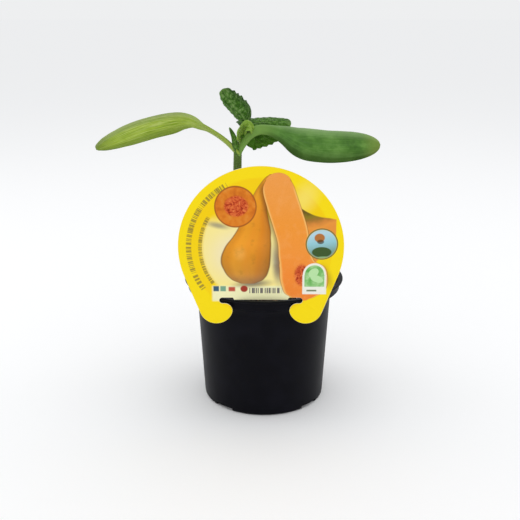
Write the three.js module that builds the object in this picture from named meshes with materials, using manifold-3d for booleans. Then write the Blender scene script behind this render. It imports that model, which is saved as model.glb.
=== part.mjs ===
// A young squash plant in a black nursery pot, with a picture label clipped over the pot's rim.
// Millimetres, +Z up. The origin is the middle of the pot's base, on the surface that it stands on.
// The label faces -Y, and the two seed leaves spread along X.
import * as THREE from "three";
import { mergeVertices } from "three/addons/utils/BufferGeometryUtils.js";
import Module from "manifold-3d";

const wasm = await Module();
wasm.setup();

const DEGREE = Math.PI / 180;

// ---- Driving dimensions ------------------------------------------------------------------------

const clearance = 0.3; // gap between pieces that touch

// Pot: a tapered wall that flares through a shoulder to an upright band, with a flat lip on top.
const potHeight = 83.2;
const lipRadius = 52.5;
const lipOverhang = 2.2; // from the band out to the lip's edge
const lipHeight = 1.5;
const bandHeight = 5.2;
const shoulderHeight = 5.3;
const shoulderStep = 5.9; // from the wall's top out to the band
const wallTaper = 4; // how far the wall narrows from its top to the base
const potWall = 0.9;

// Pot base: a floor held off the ground by feet round its edge, with gaps that let water out.
const footHeight = 2.4;
const footWidth = 6;
const footRounding = 1.8;
const footCount = 4;
const footGap = 14.5;
const footTurn = 4 * DEGREE;
const padRadius = 8;
const drainHoleRadius = 2.8;
const drainCircles = [
  { radius: 27, count: 8 },
  { radius: 15, count: 4 },
];

// Potting mix, slightly mounded.
const headroom = 12.2; // from the mix at the pot's wall up to the rim
const moundHeight = 1.6;

// Label: a flat printed disc with two hooks that grip under the lip.
const labelRadius = 49.5;
const labelThickness = 0.5;
const labelDepth = 1.9; // from the band's front back to the label, which cuts across the rim
const labelShift = -1.7; // sideways from the pot's axis
const labelCut = 16.8; // height of the slice that the straight resting edge takes off the disc
const tabHalfWidth = 15.9;
const slotSpare = 3.3; // beyond where the lip passes through the slot
const slotHeadroom = 1.7; // above the lip
const hookDrop = 0.5; // below the lip
const hookSpare = 2; // from the band to the nearest edge of each hook
const hookTipRadius = 4.8;
const hookRadius = 10.3;
const hookTipAngle = 201 * DEGREE; // where the hook's outline tightens into its tip

// Plant: the stem leaves the mix off centre and leans a little, and its crown carries the leaves.
const stemFoot = new THREE.Vector2(-11, 4);
const crownOffset = new THREE.Vector2(-16.7, 0);
const stemHeight = 94.2; // from the mix up to the crown
const stemFootRadius = 3.1;
const stemTopRadius = 2.6;
const stemBuried = 10;
const taprootLength = 40;
const taprootRadius = 2.3;
const leafScale = 1; // how far the leaves reach, against the lengths that their spines give
const seedLeafHalfWidth = 13;
const seedLeafThickness = 0.9;
const petioleThickness = 2.8;
const trueLeafThickness = 0.8;

// ---- Sizes worked out from them ----------------------------------------------------------------

const bandRadius = lipRadius - lipOverhang;
const wallTopRadius = bandRadius - shoulderStep;
const baseRadius = wallTopRadius - wallTaper;
const lipBottom = potHeight - lipHeight;
const bandBottom = lipBottom - bandHeight;
const wallTop = bandBottom - shoulderHeight;
const innerFloor = footHeight + potWall;
const mixEdge = potHeight - headroom;
const mixTop = mixEdge + moundHeight;
const crown = new THREE.Vector3(crownOffset.x, crownOffset.y, mixTop + stemHeight);

const LATHE_STEPS = 64;
const HOLE_STEPS = 16;

// The label is a straight plate across a round rim: how far out along the plate each edge crosses it.
const labelPlane = labelDepth - bandRadius;
const lipCrossing = Math.sqrt(lipRadius ** 2 - labelPlane ** 2) + Math.abs(labelShift);
const bandCrossing = Math.sqrt(bandRadius ** 2 - labelPlane ** 2) + Math.abs(labelShift);
const slotEnd = lipCrossing + slotSpare;
const hookTipX = bandCrossing + hookSpare + hookTipRadius;

// ---- Solids ------------------------------------------------------------------------------------

// A closed three.js geometry as a solid that can be cut and joined.
function solid(geometry) {
  geometry.deleteAttribute("normal");
  geometry.deleteAttribute("uv");
  const merged = mergeVertices(geometry, 1e-4);
  const mesh = new wasm.Mesh({
    numProp: 3,
    vertProperties: merged.attributes.position.array,
    triVerts: new Uint32Array(merged.index.array),
  });
  return new wasm.Manifold(mesh);
}

function geometryOf(made) {
  const { numProp, vertProperties, triVerts } = made.getMesh();
  const count = vertProperties.length / numProp;
  const positions = new Float32Array(count * 3);
  for (let i = 0; i < count; i++) {
    positions.set(vertProperties.subarray(i * numProp, i * numProp + 3), i * 3);
  }
  const geometry = new THREE.BufferGeometry();
  geometry.setAttribute("position", new THREE.BufferAttribute(positions, 3));
  geometry.setIndex(new THREE.BufferAttribute(triVerts, 1));
  geometry.computeVertexNormals();
  return geometry;
}

// The largest piece of a solid, without any sliver that a cut has left.
function largest(made) {
  const pieces = made.decompose();
  return pieces.reduce((a, b) => (b.volume() > a.volume() ? b : a));
}

// A solid turned about Z, from a profile of Vector2(radius, height) that starts and ends on the axis.
function turned(profile) {
  const lathe = new THREE.LatheGeometry(profile, LATHE_STEPS);
  return solid(lathe.rotateX(Math.PI / 2));
}

function disc(x, y, radius, from, to, steps = LATHE_STEPS) {
  const drum = new THREE.CylinderGeometry(radius, radius, to - from, steps);
  return solid(drum.rotateX(Math.PI / 2).translate(x, y, (from + to) / 2));
}

// Points along an arc, as Vector2.
function arc(x, y, radius, from, to, steps) {
  const points = [];
  for (let i = 0; i <= steps; i++) {
    const angle = from + ((to - from) * i) / steps;
    points.push(new THREE.Vector2(x + radius * Math.cos(angle), y + radius * Math.sin(angle)));
  }
  return points;
}

// ---- Pot and potting mix -----------------------------------------------------------------------

function wallRadius(z) {
  return THREE.MathUtils.mapLinear(z, 0, wallTop, baseRadius, wallTopRadius);
}

// The wall, shoulder and band from a starting height up to the lip, set inward by an inset.
function potSide(inset, from) {
  const rise = inset * 0.8;
  const foot = new THREE.Vector2(wallRadius(wallTop) - inset, wallTop + rise);
  const bulge = new THREE.Vector2(foot.x + 1, bandBottom + rise - 1);
  const edge = new THREE.Vector2(bandRadius - inset, bandBottom + rise);
  const shoulder = new THREE.QuadraticBezierCurve(foot, bulge, edge).getPoints(6);
  return [new THREE.Vector2(wallRadius(from) - inset, from), ...shoulder];
}

function potBody() {
  const lipTop = lipHeight * 0.25;
  const outer = [
    new THREE.Vector2(0, 0),
    ...arc(baseRadius - footRounding, footRounding, footRounding, -90 * DEGREE, 0, 4),
    ...potSide(0, footRounding + 1),
    new THREE.Vector2(bandRadius, lipBottom),
    new THREE.Vector2(lipRadius - 1.2, lipBottom),
    new THREE.Vector2(lipRadius, potHeight - lipHeight * 0.5),
    new THREE.Vector2(lipRadius, potHeight - lipTop),
    new THREE.Vector2(lipRadius - lipTop, potHeight),
    new THREE.Vector2(0, potHeight),
  ];
  const cavity = [
    new THREE.Vector2(0, innerFloor),
    ...potSide(potWall, innerFloor),
    new THREE.Vector2(bandRadius - potWall, potHeight + 1),
    new THREE.Vector2(0, potHeight + 1),
  ];
  return turned(outer).subtract(turned(cavity));
}

// The hollow between the feet, with a pad left in its middle.
function baseHollow() {
  const hollow = disc(0, 0, baseRadius - footWidth, -1, footHeight);
  return hollow.subtract(disc(0, 0, padRadius, -2, footHeight + 1));
}

function footGapCutter(index) {
  const angle = -90 * DEGREE + footTurn + ((index + 0.5) * 360 * DEGREE) / footCount;
  const cutter = new THREE.BoxGeometry(2 * footWidth + 4, footGap, footHeight + 1);
  cutter.translate(baseRadius - footWidth / 2, 0, (footHeight - 1) / 2);
  return solid(cutter.rotateZ(angle));
}

function drainHoles() {
  const holes = [];
  for (const { radius, count } of drainCircles) {
    for (let i = 0; i < count; i++) {
      const angle = ((i + 0.5) * 2 * Math.PI) / count;
      const x = radius * Math.cos(angle);
      const y = radius * Math.sin(angle);
      holes.push(disc(x, y, drainHoleRadius, footHeight - 1, innerFloor + 1, HOLE_STEPS));
    }
  }
  return holes;
}

function nurseryPot() {
  const cuts = [baseHollow(), ...drainHoles()];
  for (let i = 0; i < footCount; i++) {
    cuts.push(footGapCutter(i));
  }
  return cuts.reduce((pot, cut) => pot.subtract(cut), potBody());
}

function pottingMix() {
  const bottom = innerFloor + clearance;
  const inset = potWall + clearance;
  const edge = wallRadius(mixEdge) - inset;
  const mound = [];
  for (let i = 0; i <= 6; i++) {
    const share = i / 6;
    const rise = moundHeight * Math.sin(share * 90 * DEGREE);
    mound.push(new THREE.Vector2(edge * Math.cos(share * 90 * DEGREE), mixEdge + rise));
  }
  mound[6].x = 0;
  const profile = [
    new THREE.Vector2(0, bottom),
    new THREE.Vector2(wallRadius(bottom) - inset, bottom),
    ...mound,
  ];
  const bore = limb(stem, clearance).add(limb(taproot, clearance));
  return turned(profile).subtract(bore);
}

// ---- Label -------------------------------------------------------------------------------------

// The label's right edge from its top to the middle of its lower edge. Its side is the straight
// line that touches both the disc and the outside of the hook.
function labelEdge() {
  const rest = potHeight + clearance;
  const discZ = rest + labelRadius - labelCut;
  const tipZ = lipBottom - hookDrop - hookTipRadius;
  const reach = hookRadius - hookTipRadius;
  const hookX = hookTipX - reach * Math.cos(hookTipAngle);
  const hookZ = tipZ - reach * Math.sin(hookTipAngle);
  const span = Math.hypot(hookX, discZ - hookZ);
  const slope = Math.atan2(hookZ - discZ, hookX);
  const side = slope + Math.acos((labelRadius - hookRadius) / span);
  const slotBottom = tipZ + hookTipRadius;
  const slotTop = potHeight + slotHeadroom;
  const slotRadius = (slotTop - slotBottom) / 2;
  const slotX = slotEnd - slotRadius;
  return [
    ...arc(0, discZ, labelRadius, 90 * DEGREE, side, 28),
    ...arc(hookX, hookZ, hookRadius, side, hookTipAngle - 360 * DEGREE, 12),
    ...arc(hookTipX, tipZ, hookTipRadius, hookTipAngle, 90 * DEGREE, 6),
    ...arc(slotX, slotBottom + slotRadius, slotRadius, -90 * DEGREE, 90 * DEGREE, 6),
    new THREE.Vector2(tabHalfWidth + 1, slotTop),
    new THREE.Vector2(tabHalfWidth, rest),
  ];
}

function pictureLabel() {
  const right = labelEdge();
  const left = right.slice(1).map((p) => new THREE.Vector2(-p.x, p.y)).reverse();
  const shape = new THREE.Shape([...right, ...left]);
  const options = { depth: labelThickness, bevelEnabled: false };
  const plate = new THREE.ExtrudeGeometry(shape, options).rotateX(Math.PI / 2);
  return solid(plate.translate(labelShift, labelPlane + labelThickness / 2, 0));
}

// ---- Plant parts -------------------------------------------------------------------------------

// Each part of the plant follows a spine, with a section that is an ellipse across it.
//   spine: points from its root to its tip       width(t), thick(t): half sizes of the section
//   roll(t): turn of the section about the spine   curl(t): how tightly it bends across, 1/mm
//   level: the direction that the section's face looks in before it is rolled
const upward = new THREE.Vector3(0, 0, 1);
const towardLabel = new THREE.Vector3(0, -1, 0);

// The sections' points: rows along the spine, each a loop round it, with a point at either end.
function limb(part, grow = 0) {
  const curve = new THREE.CatmullRomCurve3(part.spine, false, "centripetal");
  const { rows, columns } = part;
  const positions = [];
  const addRow = (t, reach, scale) => {
    const along = curve.getTangentAt(t);
    const side = new THREE.Vector3().crossVectors(along, part.level).normalize();
    side.applyAxisAngle(along, part.roll(t));
    const face = new THREE.Vector3().crossVectors(side, along);
    const middle = curve.getPointAt(t).addScaledVector(along, reach);
    const steps = scale > 0 ? columns : 1;
    for (let c = 0; c < steps; c++) {
      const angle = (c / columns) * 2 * Math.PI;
      const across = scale * (part.width(t) + grow) * Math.cos(angle);
      const out = scale * (part.thick(t) + grow) * Math.sin(angle);
      const bend = part.curl(t);
      const turn = across * bend;
      const near = Math.abs(turn) < 1e-6;
      const radius = near ? 0 : 1 / bend - out;
      const x = near ? across : radius * Math.sin(turn);
      const y = near ? out : 1 / bend - radius * Math.cos(turn);
      const point = middle.clone().addScaledVector(side, x).addScaledVector(face, y);
      positions.push(...point.toArray());
    }
  };
  addRow(0, -grow, 0);
  for (let r = 0; r <= rows; r++) {
    const reach = r === 0 ? -grow : r === rows ? grow : 0;
    addRow(r / rows, reach, 1);
  }
  addRow(1, grow + 0.01, 0);
  const geometry = new THREE.BufferGeometry();
  geometry.setAttribute("position", new THREE.Float32BufferAttribute(positions, 3));
  geometry.setIndex(loopFaces(rows + 1, columns));
  return solid(geometry);
}

// Triangles for loops of points stacked between two end points.
function loopFaces(loops, columns) {
  const faces = [];
  const last = 1 + loops * columns;
  for (let c = 0; c < columns; c++) {
    const next = (c + 1) % columns;
    faces.push(0, 1 + c, 1 + next);
    faces.push(last, last - columns + next, last - columns + c);
    for (let r = 0; r + 1 < loops; r++) {
      const a = 1 + r * columns;
      const b = a + columns;
      faces.push(a + c, b + c, b + next);
      faces.push(a + c, b + next, a + next);
    }
  }
  return faces;
}

// A part of the plant, cut clear of the parts that it grows from or passes.
function fitted(part, neighbours) {
  const cut = (made, other) => made.subtract(limb(other, clearance));
  return largest(neighbours.reduce(cut, limb(part)));
}

// Points given from the crown, for leaves that reach as far as the usual ones here.
function fromCrown(...points) {
  return points.map(([x, y, z]) => new THREE.Vector3(x, y, z).multiplyScalar(leafScale).add(crown));
}

const blend = THREE.MathUtils.lerp;
const ease = THREE.MathUtils.smootherstep;

// Half width of a leaf with a stalk: it widens from the stalk to its widest place, then rounds off.
function leafWidth(stalk, stalkEnd, widest, halfWidth, tipPower = 2.3) {
  return (t) => {
    if (t < widest) {
      return blend(stalk, halfWidth, ease(t, stalkEnd, widest));
    }
    const share = (t - widest) / (1 - widest);
    return Math.max(0.25, halfWidth * Math.sqrt(Math.max(0, 1 - share ** tipPower)));
  };
}

const stem = {
  spine: [
    new THREE.Vector3(stemFoot.x, stemFoot.y, mixTop - stemBuried),
    new THREE.Vector3(stemFoot.x, stemFoot.y, mixTop),
    new THREE.Vector3(blend(stemFoot.x, crown.x, 0.45), stemFoot.y * 0.8, mixTop + stemHeight * 0.33),
    new THREE.Vector3(crown.x - 0.2, crown.y + 0.8, mixTop + stemHeight * 0.75),
    crown.clone(),
  ],
  width: (t) => blend(stemFootRadius, stemTopRadius, t),
  thick: (t) => blend(stemFootRadius, stemTopRadius, t),
  roll: () => 0,
  curl: () => 0,
  level: towardLabel,
  rows: 22,
  columns: 16,
};

const taproot = {
  spine: [
    new THREE.Vector3(stemFoot.x, stemFoot.y, mixTop - stemBuried - 2 * clearance),
    new THREE.Vector3(stemFoot.x + 1.5, stemFoot.y - 1, mixTop - stemBuried - taprootLength / 2),
    new THREE.Vector3(stemFoot.x + 0.5, stemFoot.y, mixTop - stemBuried - taprootLength),
  ],
  width: (t) => blend(taprootRadius, 0.5, t),
  thick: (t) => blend(taprootRadius, 0.5, t),
  roll: () => 0,
  curl: () => 0,
  level: towardLabel,
  rows: 10,
  columns: 12,
};

const epicotyl = {
  spine: fromCrown([0.4, 0.3, -2], [2, 0.8, 5], [4.2, 1.2, 11.5], [5, 1.4, 15.5]),
  width: (t) => blend(2.1, 1.6, t),
  thick: (t) => blend(2.1, 1.6, t),
  roll: () => 0,
  curl: () => 0,
  level: towardLabel,
  rows: 8,
  columns: 14,
};

const seedLeafLeft = {
  spine: fromCrown(
    [0.4, 0, -2.6],
    [-5.6, -0.5, 4],
    [-12, -1, 9.6],
    [-19, -1.5, 15],
    [-27, -1.5, 18.4],
    [-41.5, -1, 17],
    [-57.5, 0, 12.6],
    [-73.5, 1, 7],
    [-89.5, 1, 1],
  ),
  width: leafWidth(2.4, 0.24, 0.62, seedLeafHalfWidth + 0.4),
  thick: (t) => blend(petioleThickness, seedLeafThickness, ease(t, 0.12, 0.36)) / 2,
  roll: (t) => blend(20, 38, ease(t, 0.1, 0.4)) * DEGREE,
  curl: (t) => -0.018 * ease(t, 0.3, 0.5),
  level: upward,
  rows: 30,
  columns: 20,
};

const seedLeafRight = {
  spine: fromCrown(
    [-0.4, 0, -2.4],
    [4, -1.8, 5.6],
    [8.2, -2.8, 10.6],
    [13.8, -3.6, 13.2],
    [20, -4, 13.2],
    [29, -3, 10.2],
    [39, -2, 6.1],
    [54, -1, 3.8],
    [72, 0, 3.8],
    [90.2, 0, 4.9],
  ),
  width: leafWidth(3.4, 0.16, 0.56, seedLeafHalfWidth),
  thick: (t) => blend(petioleThickness, seedLeafThickness, ease(t, 0.12, 0.36)) / 2,
  roll: (t) => blend(60, 47, ease(t, 0.1, 0.5)) * DEGREE,
  curl: (t) => -0.014 * ease(t, 0.3, 0.5),
  level: upward,
  rows: 30,
  columns: 20,
};

// The first true leaf stands up, still rolled.
const trueLeafUpright = {
  spine: fromCrown([4.6, 1.4, 13.8], [2.9, 1.6, 18.6], [-1.6, 1.2, 26], [-5, 0.6, 31], [-7.2, 0, 36.4]),
  width: leafWidth(1.4, 0.04, 0.45, 13, 2),
  thick: () => trueLeafThickness / 2,
  roll: () => -14 * DEGREE,
  curl: (t) => -0.17 * ease(t, 0.02, 0.3),
  level: towardLabel,
  rows: 18,
  columns: 28,
};

// The second true leaf spreads behind the right seed leaf's stalk, with its near half hanging.
const trueLeafSpreading = {
  spine: fromCrown([4.8, 1.8, 12.6], [6, 4.4, 15], [11, 6.8, 16.4], [21, 7.8, 16.8], [34, 7.6, 16]),
  width: leafWidth(1.3, 0, 0.22, 18.5, 1.3),
  thick: () => trueLeafThickness / 2,
  roll: () => 25 * DEGREE,
  curl: (t) => -0.09 * ease(t, 0, 0.2),
  level: upward,
  rows: 18,
  columns: 24,
};

// The youngest leaves are hooded over the growing tip.
const budLeaf = {
  spine: fromCrown([2, -0.8, 3.6], [1.4, -3.2, 10], [3, -4.2, 16], [6.6, -4, 17.6], [9.4, -3.4, 14]),
  width: leafWidth(1, 0.05, 0.5, 3.6, 2.4),
  thick: () => trueLeafThickness / 2,
  roll: () => 0,
  curl: () => 0.12,
  level: new THREE.Vector3(1, 0, 0),
  rows: 14,
  columns: 14,
};

const budLeafInner = {
  spine: fromCrown([4, -0.6, 9.4], [5.2, -2.4, 12.4], [6.4, -2.6, 14.6], [8, -2.2, 13.2]),
  width: leafWidth(0.8, 0.05, 0.5, 1.9, 2.4),
  thick: () => trueLeafThickness / 2,
  roll: () => 0,
  curl: () => 0.1,
  level: new THREE.Vector3(1, 0, 0),
  rows: 10,
  columns: 12,
};

// A narrow leaf stands in the angle between the stem and the left seed leaf.
const axilLeaf = {
  spine: fromCrown([0.2, -1.8, -3], [-1.2, -3.4, 3], [-2.2, -3.4, 8.6], [-5, -3, 14.6]),
  width: leafWidth(1.2, 0.02, 0.4, 2.1, 1.3),
  thick: () => trueLeafThickness / 2,
  roll: () => 24 * DEGREE,
  curl: () => -0.2,
  level: towardLabel,
  rows: 12,
  columns: 12,
};

// ---- Assembly ----------------------------------------------------------------------------------

const finishes = {
  plastic: { color: 0x16171a, roughness: 0.42 },
  mix: { color: 0x3a2a1e, roughness: 0.95 },
  card: { color: 0xffdc12, roughness: 0.35 },
  root: { color: 0xd9cfae, roughness: 0.8 },
  stem: { color: 0x7da35c, roughness: 0.5 },
  seedLeaf: { color: 0x4f8a3c, roughness: 0.5 },
  trueLeaf: { color: 0x3d7434, roughness: 0.65 },
  bud: { color: 0x93b968, roughness: 0.6 },
};

function piece(name, made, finish) {
  const mesh = new THREE.Mesh(geometryOf(made), new THREE.MeshStandardMaterial(finishes[finish]));
  mesh.name = name;
  return mesh;
}

function pottedSeedling() {
  const seedLeaves = [stem, epicotyl];
  const trueLeaves = [stem, epicotyl, seedLeafLeft, seedLeafRight];
  const buds = [...trueLeaves, trueLeafUpright, trueLeafSpreading];
  const plant = new THREE.Group();
  plant.name = "potted_squash_seedling";
  plant.add(
    piece("nursery_pot", nurseryPot(), "plastic"),
    piece("potting_mix", pottingMix(), "mix"),
    piece("picture_label", pictureLabel(), "card"),
    piece("taproot", limb(taproot), "root"),
    piece("stem", limb(stem), "stem"),
    piece("epicotyl", fitted(epicotyl, [stem]), "stem"),
    piece("seed_leaf_left", fitted(seedLeafLeft, seedLeaves), "seedLeaf"),
    piece("seed_leaf_right", fitted(seedLeafRight, [...seedLeaves, seedLeafLeft]), "seedLeaf"),
    piece("true_leaf_upright", fitted(trueLeafUpright, trueLeaves), "trueLeaf"),
    piece("true_leaf_spreading", fitted(trueLeafSpreading, [...trueLeaves, trueLeafUpright]), "trueLeaf"),
    piece("bud_leaf", fitted(budLeaf, buds), "bud"),
    piece("bud_leaf_inner", fitted(budLeafInner, [...buds, budLeaf]), "bud"),
    piece("axil_leaf", fitted(axilLeaf, [...buds, budLeaf]), "bud"),
  );
  return plant;
}

export default pottedSeedling();
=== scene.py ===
# %% [markdown]
# # A young squash plant in a nursery pot
#
# The object is a squash seedling as a garden centre sells it: two seed leaves and the first true
# leaves on one stem, in a black plastic pot of 10.5 cm, with a round picture label clipped on
# its rim. The CAD model fixes every size and place. This script loads that model as a frame,
# makes each piece again with its real surface, and says which CAD node each one stands for.
# Lengths are typed in millimetres, and MM turns them into Blender's metres.

# %% Load the CAD frame
import math

import bmesh
import bpy
import numpy as np
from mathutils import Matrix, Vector, noise


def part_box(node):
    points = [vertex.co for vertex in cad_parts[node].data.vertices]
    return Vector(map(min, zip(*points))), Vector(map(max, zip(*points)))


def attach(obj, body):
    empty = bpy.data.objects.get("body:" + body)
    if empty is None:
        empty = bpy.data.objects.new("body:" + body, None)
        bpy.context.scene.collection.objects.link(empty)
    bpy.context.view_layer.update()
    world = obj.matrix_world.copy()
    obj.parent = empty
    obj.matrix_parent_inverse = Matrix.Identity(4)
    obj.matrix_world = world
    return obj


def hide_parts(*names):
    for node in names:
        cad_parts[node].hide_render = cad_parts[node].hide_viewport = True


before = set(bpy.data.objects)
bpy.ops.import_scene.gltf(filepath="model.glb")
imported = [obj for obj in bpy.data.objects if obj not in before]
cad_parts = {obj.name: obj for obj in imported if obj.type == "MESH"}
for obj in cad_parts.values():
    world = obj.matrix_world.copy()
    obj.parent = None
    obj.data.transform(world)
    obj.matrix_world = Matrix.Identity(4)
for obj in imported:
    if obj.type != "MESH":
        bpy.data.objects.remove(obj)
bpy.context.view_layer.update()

MM = 0.001
print("CAD nodes:", ", ".join(sorted(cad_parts)))

# %% [markdown]
# ## Helpers for nodes and meshes
#
# Materials and Geometry Nodes are both trees of nodes, so one function serves both: it adds a
# node, sets its options, and fills each input with a value or a link. Number is a thin wrapper
# that lets a sum of node outputs be written as ordinary arithmetic.

# %% Add a node, with its settings and links
def open_sockets(sockets):
    return [socket for socket in sockets if not socket.is_unavailable]


def add(tree, kind, inputs=(), **settings):
    node = tree.nodes.new(kind)
    for name, value in settings.items():
        setattr(node, name, value)
    pairs = inputs.items() if isinstance(inputs, dict) else enumerate(inputs)
    for key, value in pairs:
        sockets = open_sockets(node.inputs)
        named = [socket for socket in sockets if socket.name == key]
        socket = named[0] if named else sockets[key]
        if isinstance(value, Number):
            value = value.socket
        if isinstance(value, bpy.types.Node):
            value = open_sockets(value.outputs)[0]
        if isinstance(value, bpy.types.NodeSocket):
            tree.links.new(value, socket)
        else:
            socket.default_value = value
    return node


class Number:
    """A node output that takes part in ordinary arithmetic."""

    def __init__(self, socket):
        self.socket = socket

    def math(self, operation, *others, flipped=False):
        terms = (*others, self) if flipped else (self, *others)
        tree = self.socket.id_data
        node = add(tree, "ShaderNodeMath", terms, operation=operation)
        return Number(node.outputs[0])

    def __add__(self, other):
        return self.math("ADD", other)

    def __sub__(self, other):
        return self.math("SUBTRACT", other)

    def __rsub__(self, other):
        return self.math("SUBTRACT", other, flipped=True)

    def __mul__(self, other):
        return self.math("MULTIPLY", other)

    def __truediv__(self, other):
        return self.math("DIVIDE", other)

    def step(self, start, end):
        """0 before start and 1 after end, with a smooth rise between them."""
        settings = {"Value": self, "From Min": start, "From Max": end}
        node = add(
            self.socket.id_data, "ShaderNodeMapRange", settings, interpolation_type="SMOOTHSTEP"
        )
        return Number(node.outputs[0])


# %% Colours, materials and meshes
def srgb(code, alpha=1.0):
    """A hex colour as Blender's linear RGBA."""
    parts = [int(code[i : i + 2], 16) / 255 for i in (1, 3, 5)]
    linear = [c / 12.92 if c <= 0.04045 else ((c + 0.055) / 1.055) ** 2.4 for c in parts]
    return (*linear, alpha)


def new_material(name):
    """A material, its empty tree, and the place on the object that its textures read."""
    material = bpy.data.materials.new(name)
    material.use_nodes = True
    tree = material.node_tree
    tree.nodes.clear()
    return material, tree, add(tree, "ShaderNodeTexCoord").outputs["Object"]


class Layers:
    """Colours laid one over the other, each through a mask from 0 to 1."""

    def __init__(self, tree, ground):
        self.tree = tree
        self.colour = ground

    def lay(self, colour, mask):
        inks = {"Factor": mask, "A": self.colour, "B": colour}
        self.colour = add(self.tree, "ShaderNodeMix", inks, data_type="RGBA")
        return self


def ramp_of(tree, factor, codes, start=-1.0, end=1.0):
    """Colours at equal steps from start to end."""
    node = add(tree, "ShaderNodeValToRGB", ((factor - start) / (end - start),))
    stops = node.color_ramp.elements
    for i, code in enumerate(codes):
        at = i / (len(codes) - 1)
        stop = stops[0] if i == 0 else stops[-1] if i == len(codes) - 1 else stops.new(at)
        stop.position, stop.color = at, srgb(code)
    return node


def surface(tree, colour, roughness, ior, bump=None, specular=0.5):
    """Ends a material. specular below a half dims the reflection that its IOR alone would give."""
    settings = {"Base Color": colour, "Roughness": roughness, "IOR": ior}
    if bump:
        settings["Normal"] = bump
    shader = add(tree, "ShaderNodeBsdfPrincipled", settings)
    shader.inputs["Specular IOR Level"].default_value = specular
    add(tree, "ShaderNodeOutputMaterial", {"Surface": shader})
    return shader


def new_piece(name, points, faces, *materials, edges=()):
    """An object from points in millimetres and faces, in the row frame."""
    mesh = bpy.data.meshes.new(name)
    faces = [list(map(int, face)) for face in faces]
    mesh.from_pydata((np.asarray(points) * MM).tolist(), edges, faces)
    for material in materials:
        mesh.materials.append(material)
    piece = bpy.data.objects.new(name, mesh)
    bpy.context.scene.collection.objects.link(piece)
    return piece


def outward(piece, crease=40):
    """Turns the faces outwards and smooths all but the edges sharper than crease degrees."""
    shape = bmesh.new()
    shape.from_mesh(piece.data)
    bmesh.ops.recalc_face_normals(shape, faces=shape.faces)
    volume = shape.calc_volume(signed=True) / MM**3
    shape.to_mesh(piece.data)
    shape.free()
    piece.data.shade_smooth()
    piece.data.set_sharp_from_angle(angle=math.radians(crease))
    print(f"{piece.name}: {len(piece.data.polygons)} faces, {volume / 1000:.2f} ml")


def hand_over(piece, node):
    """Says which CAD node a finished piece stands for, hides that node, and prints how far the
    piece stands beyond it.
    """
    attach(piece, "root")
    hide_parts(node)
    low, high = (np.array([*corner]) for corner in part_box(node))
    bottom, top = np.array(piece.bound_box)[[0, 6]]
    proud = max(*(low - bottom), *(top - high)) / MM
    print(f"{piece.name}: stands {proud:.1f} mm beyond its CAD node at most")


# %% Geometry Nodes trees
def geometry_tree(name, **inputs):
    """A tree with named inputs. Each input is given as its socket type and its usual value."""
    tree = bpy.data.node_groups.new(name, "GeometryNodeTree")
    face = tree.interface
    face.new_socket("Geometry", in_out="INPUT", socket_type="NodeSocketGeometry")
    face.new_socket("Geometry", in_out="OUTPUT", socket_type="NodeSocketGeometry")
    for label, (kind, value) in inputs.items():
        socket = face.new_socket(label, in_out="INPUT", socket_type="NodeSocket" + kind)
        if value is not None:
            socket.default_value = value
    return tree, tree.nodes.new("NodeGroupInput").outputs


def run_tree(piece, tree, **values):
    """Replaces a piece's mesh with what the tree makes from it."""
    modifier = piece.modifiers.new(tree.name, "NODES")
    modifier.node_group = tree
    for item in tree.interface.items_tree:
        if item.in_out == "INPUT" and item.name in values:
            modifier[item.identifier] = values[item.name]
    graph = bpy.context.evaluated_depsgraph_get()
    made = bpy.data.meshes.new_from_object(piece.evaluated_get(graph))
    piece.modifiers.remove(modifier)
    piece.data = made
    print(f"{piece.name}: {tree.name} made {len(made.polygons)} faces")


# %% [markdown]
# ## Camera, floor and light
#
# The pot stands on a pale sweep in a small studio. The camera looks down on it by 17.5 degrees
# from half a metre away. A large softbox hangs over the table and slightly behind the pot, so
# the shadow falls softly towards the camera, and a tall softbox on either side draws the long
# pale gleams down the black plastic. A weak one in front keeps the label bright.

# %% Camera
CAMERA_PLACE = (0, -0.493, 0.249)
CAMERA_DOWN = math.radians(17.5)
CAMERA_LEFT = math.radians(0.294)

camera = bpy.data.objects.new("camera", bpy.data.cameras.new("camera"))
camera.data.sensor_width = 36
camera.data.lens = 53.93
camera.location = CAMERA_PLACE
camera.rotation_euler = (math.radians(90) - CAMERA_DOWN, 0, CAMERA_LEFT)
bpy.context.scene.collection.objects.link(camera)
bpy.context.scene.camera = camera
bpy.context.scene.view_settings.view_transform = "Standard"
bpy.context.scene.view_settings.look = "None"

# %% Floor: matt white sweep
sweep, tree, place = new_material("matt white background sheet")
fibres = add(tree, "ShaderNodeTexNoise", {"Vector": place, "Scale": 900.0, "Detail": 3.0})
tone = Layers(tree, srgb("#FCFCFD")).lay(srgb("#FFFFFF"), fibres).colour
surface(tree, tone, 0.85, 1.45, specular=0.0)

HALF_FLOOR = 40000  # far enough that the floor's end is lost in the distance
corners = [(x, y, 0) for x, y in ((-1, -1), (1, -1), (1, 1), (-1, 1))]
floor = new_piece("floor", np.array(corners) * HALF_FLOOR, [(0, 1, 2, 3)], sweep)

# %% Light
world = bpy.data.worlds.new("studio air")
bpy.context.scene.world = world
world.use_nodes = True
backdrop = next(node for node in world.node_tree.nodes if node.type == "BACKGROUND")
backdrop.inputs["Color"].default_value = srgb("#FAFBFC")
backdrop.inputs["Strength"].default_value = 0.895


def softbox(name, size, at, towards, power, tint="#FFFFFF"):
    """A rectangular softbox: size, place and aim in metres, power in watts."""
    light = bpy.data.lights.new(name, "AREA")
    light.shape = "RECTANGLE"
    light.size, light.size_y = size
    light.energy = power
    light.color = srgb(tint)[:3]
    holder = bpy.data.objects.new(name, light)
    holder.location = at
    aim = Vector(towards) - Vector(at)
    holder.rotation_euler = aim.to_track_quat("-Z", "Y").to_euler()
    bpy.context.scene.collection.objects.link(holder)


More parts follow.
